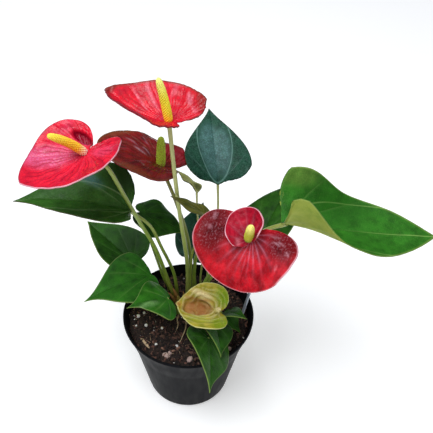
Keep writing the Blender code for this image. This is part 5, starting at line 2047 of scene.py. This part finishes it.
@dataclass
class Leaf:
    """One leaf: its blade, the stem that carries it and its tone."""

    number: str
    tone: Tone
    radius: float
    foot: tuple[float, float]
    passes: list[tuple[float, float, float]]
    rind: StalkFinish = STALK_GREEN
    relief: Relief = LEAF_RELIEF
    patches: tuple[Patch, ...] = ()

    def build(self, tubes: NodeTree) -> None:
        """Builds the blade and its stem.

        Args:
            tubes: the tube tree
        """
        shape = LEAF_SHAPES[self.number]
        above, below, edge, slot = self.tone.value
        Blade(f"leaf_{self.number}_blade", slot, shape, above, below, edge, self.relief,
              patches=self.patches).build()
        Stalk(f"leaf_{self.number}_stem", self.radius, self.foot, self.passes, shape, self.rind).build(tubes)


def leaves() -> list[Leaf]:
    """Lists the fifteen leaves, each with its stem."""
    return [
        Leaf("01", Tone.LYRE, 1.0, (15, 22), [(14, 27, 109), (20, 36, 138), (20, 43, 160)], STALK_PALE,
             LYRE_RELIEF,
             # The tinted patches are a painted sheen
             (Patch(27, 3, 24, 10, tint_and_sheen=0.45, crisp=8), Patch(25, -6, 21, 7, tint_and_sheen=0.4, crisp=8))),
        Leaf("02", Tone.LUSH, 1.6, (7, 13), [(13, 12, 110), (26, 8, 136), (41, 0, 161), (51, -9, 186)],
             relief=LARGE_RELIEF,
             patches=(Patch(38, 17, 26, 12, stain_and_shade=0.5), Patch(5, 32, 14, 7, tint_and_sheen=0.5))),
        Leaf("03", Tone.DARK, 1.1, (11, 17), [(17, 18, 106), (36, 20, 132)]),
        Leaf("04", Tone.NIGHT, 1.4, (-11, 22), [(-13.5, 22, 106), (-22, 18.5, 138), (-29, 15, 163)],
             # The tinted patch is a painted sheen, and the dark one painted shade under the second flower's
             # spathe
             patches=(Patch(33, -18, 12, 4.0, -25, tint_and_sheen=0.65), Patch(11, -23, 13, 11, stain_and_shade=0.75))),
        Leaf("05", Tone.DARK, 1.1, (-18, 14), [(-26, 24, 86), (-39, 38, 88.5)],
             # The dark patch is painted shade where the fourth leaf overhangs it
             patches=(Patch(13, -12, 14, 12, stain_and_shade=0.65),)),
        Leaf("06", Tone.DARK, 1.1, (-19, 30), [(-24, 32, 92), (-32, 36, 122), (-37, 39, 142)]),
        Leaf("07", Tone.GREEN, 1.1, (-15, 9), [(-20, 12, 88), (-27, 17, 95)]),
        Leaf("08", Tone.GREEN, 1.0, (-9, 4), [(-12, 1, 90)], relief=SMALL_RELIEF,
             # The tinted patch is a painted highlight along the fold
             patches=(Patch(20, 3.4, 9, 2.2, 4, tint_and_sheen=0.7, dent=-1.2),)),
        Leaf("09", Tone.DARK, 1.1, (-2, 2), [(3, -7, 84), (9, -24, 88)], relief=SMALL_RELIEF),
        Leaf("10", Tone.DARK, 0.9, (5, 3), [(10, -4, 86), (16, -14, 94)], relief=SMALL_RELIEF),
        Leaf("11", Tone.DARK, 0.9, (11, 7), [(16, 2, 84), (26, -11, 89)], relief=SMALL_RELIEF),
        Leaf("12", Tone.BLUE, 1.1, (4, 28), [(3, 32, 90), (2, 39, 104)], relief=SMALL_RELIEF),
        Leaf("13", Tone.OLIVE, 0.9, (0.5, 15), [(0.5, 14.5, 100), (1.5, 12, 135), (6, 6, 165)], STALK_OLIVE,
             SMALL_RELIEF),
        Leaf("14", Tone.PALE, 0.8, (10, 26), [(8, 27, 92), (9, 28, 120), (5.5, 30, 150), (4.5, 28, 172)],
             STALK_PALE, SMALL_RELIEF, (Patch(3, -3, 4, 3, stain_and_shade=0.9),)),
        Leaf("15", Tone.DARK, 0.8, (16, 8), [(20, 6, 81), (25, 1, 85)], relief=SMALL_RELIEF),
    ]


def main() -> None:
    """Builds every sub-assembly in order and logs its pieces."""
    logging.basicConfig(level=logging.INFO, format="%(name)s: %(message)s")
    Studio().build()
    Pot().build()
    Soil().build()
    tubes = tube_tree()
    Crown().build(tubes)
    Label().build()
    florets = floret_tree()
    for spathe in spathes():
        spathe.build()
    for stalk in stalks():
        stalk.build(tubes)
    for spadix in spadices():
        spadix.build(florets)
    for leaf in leaves():
        leaf.build(tubes)


if __name__ == "__main__":
    main()
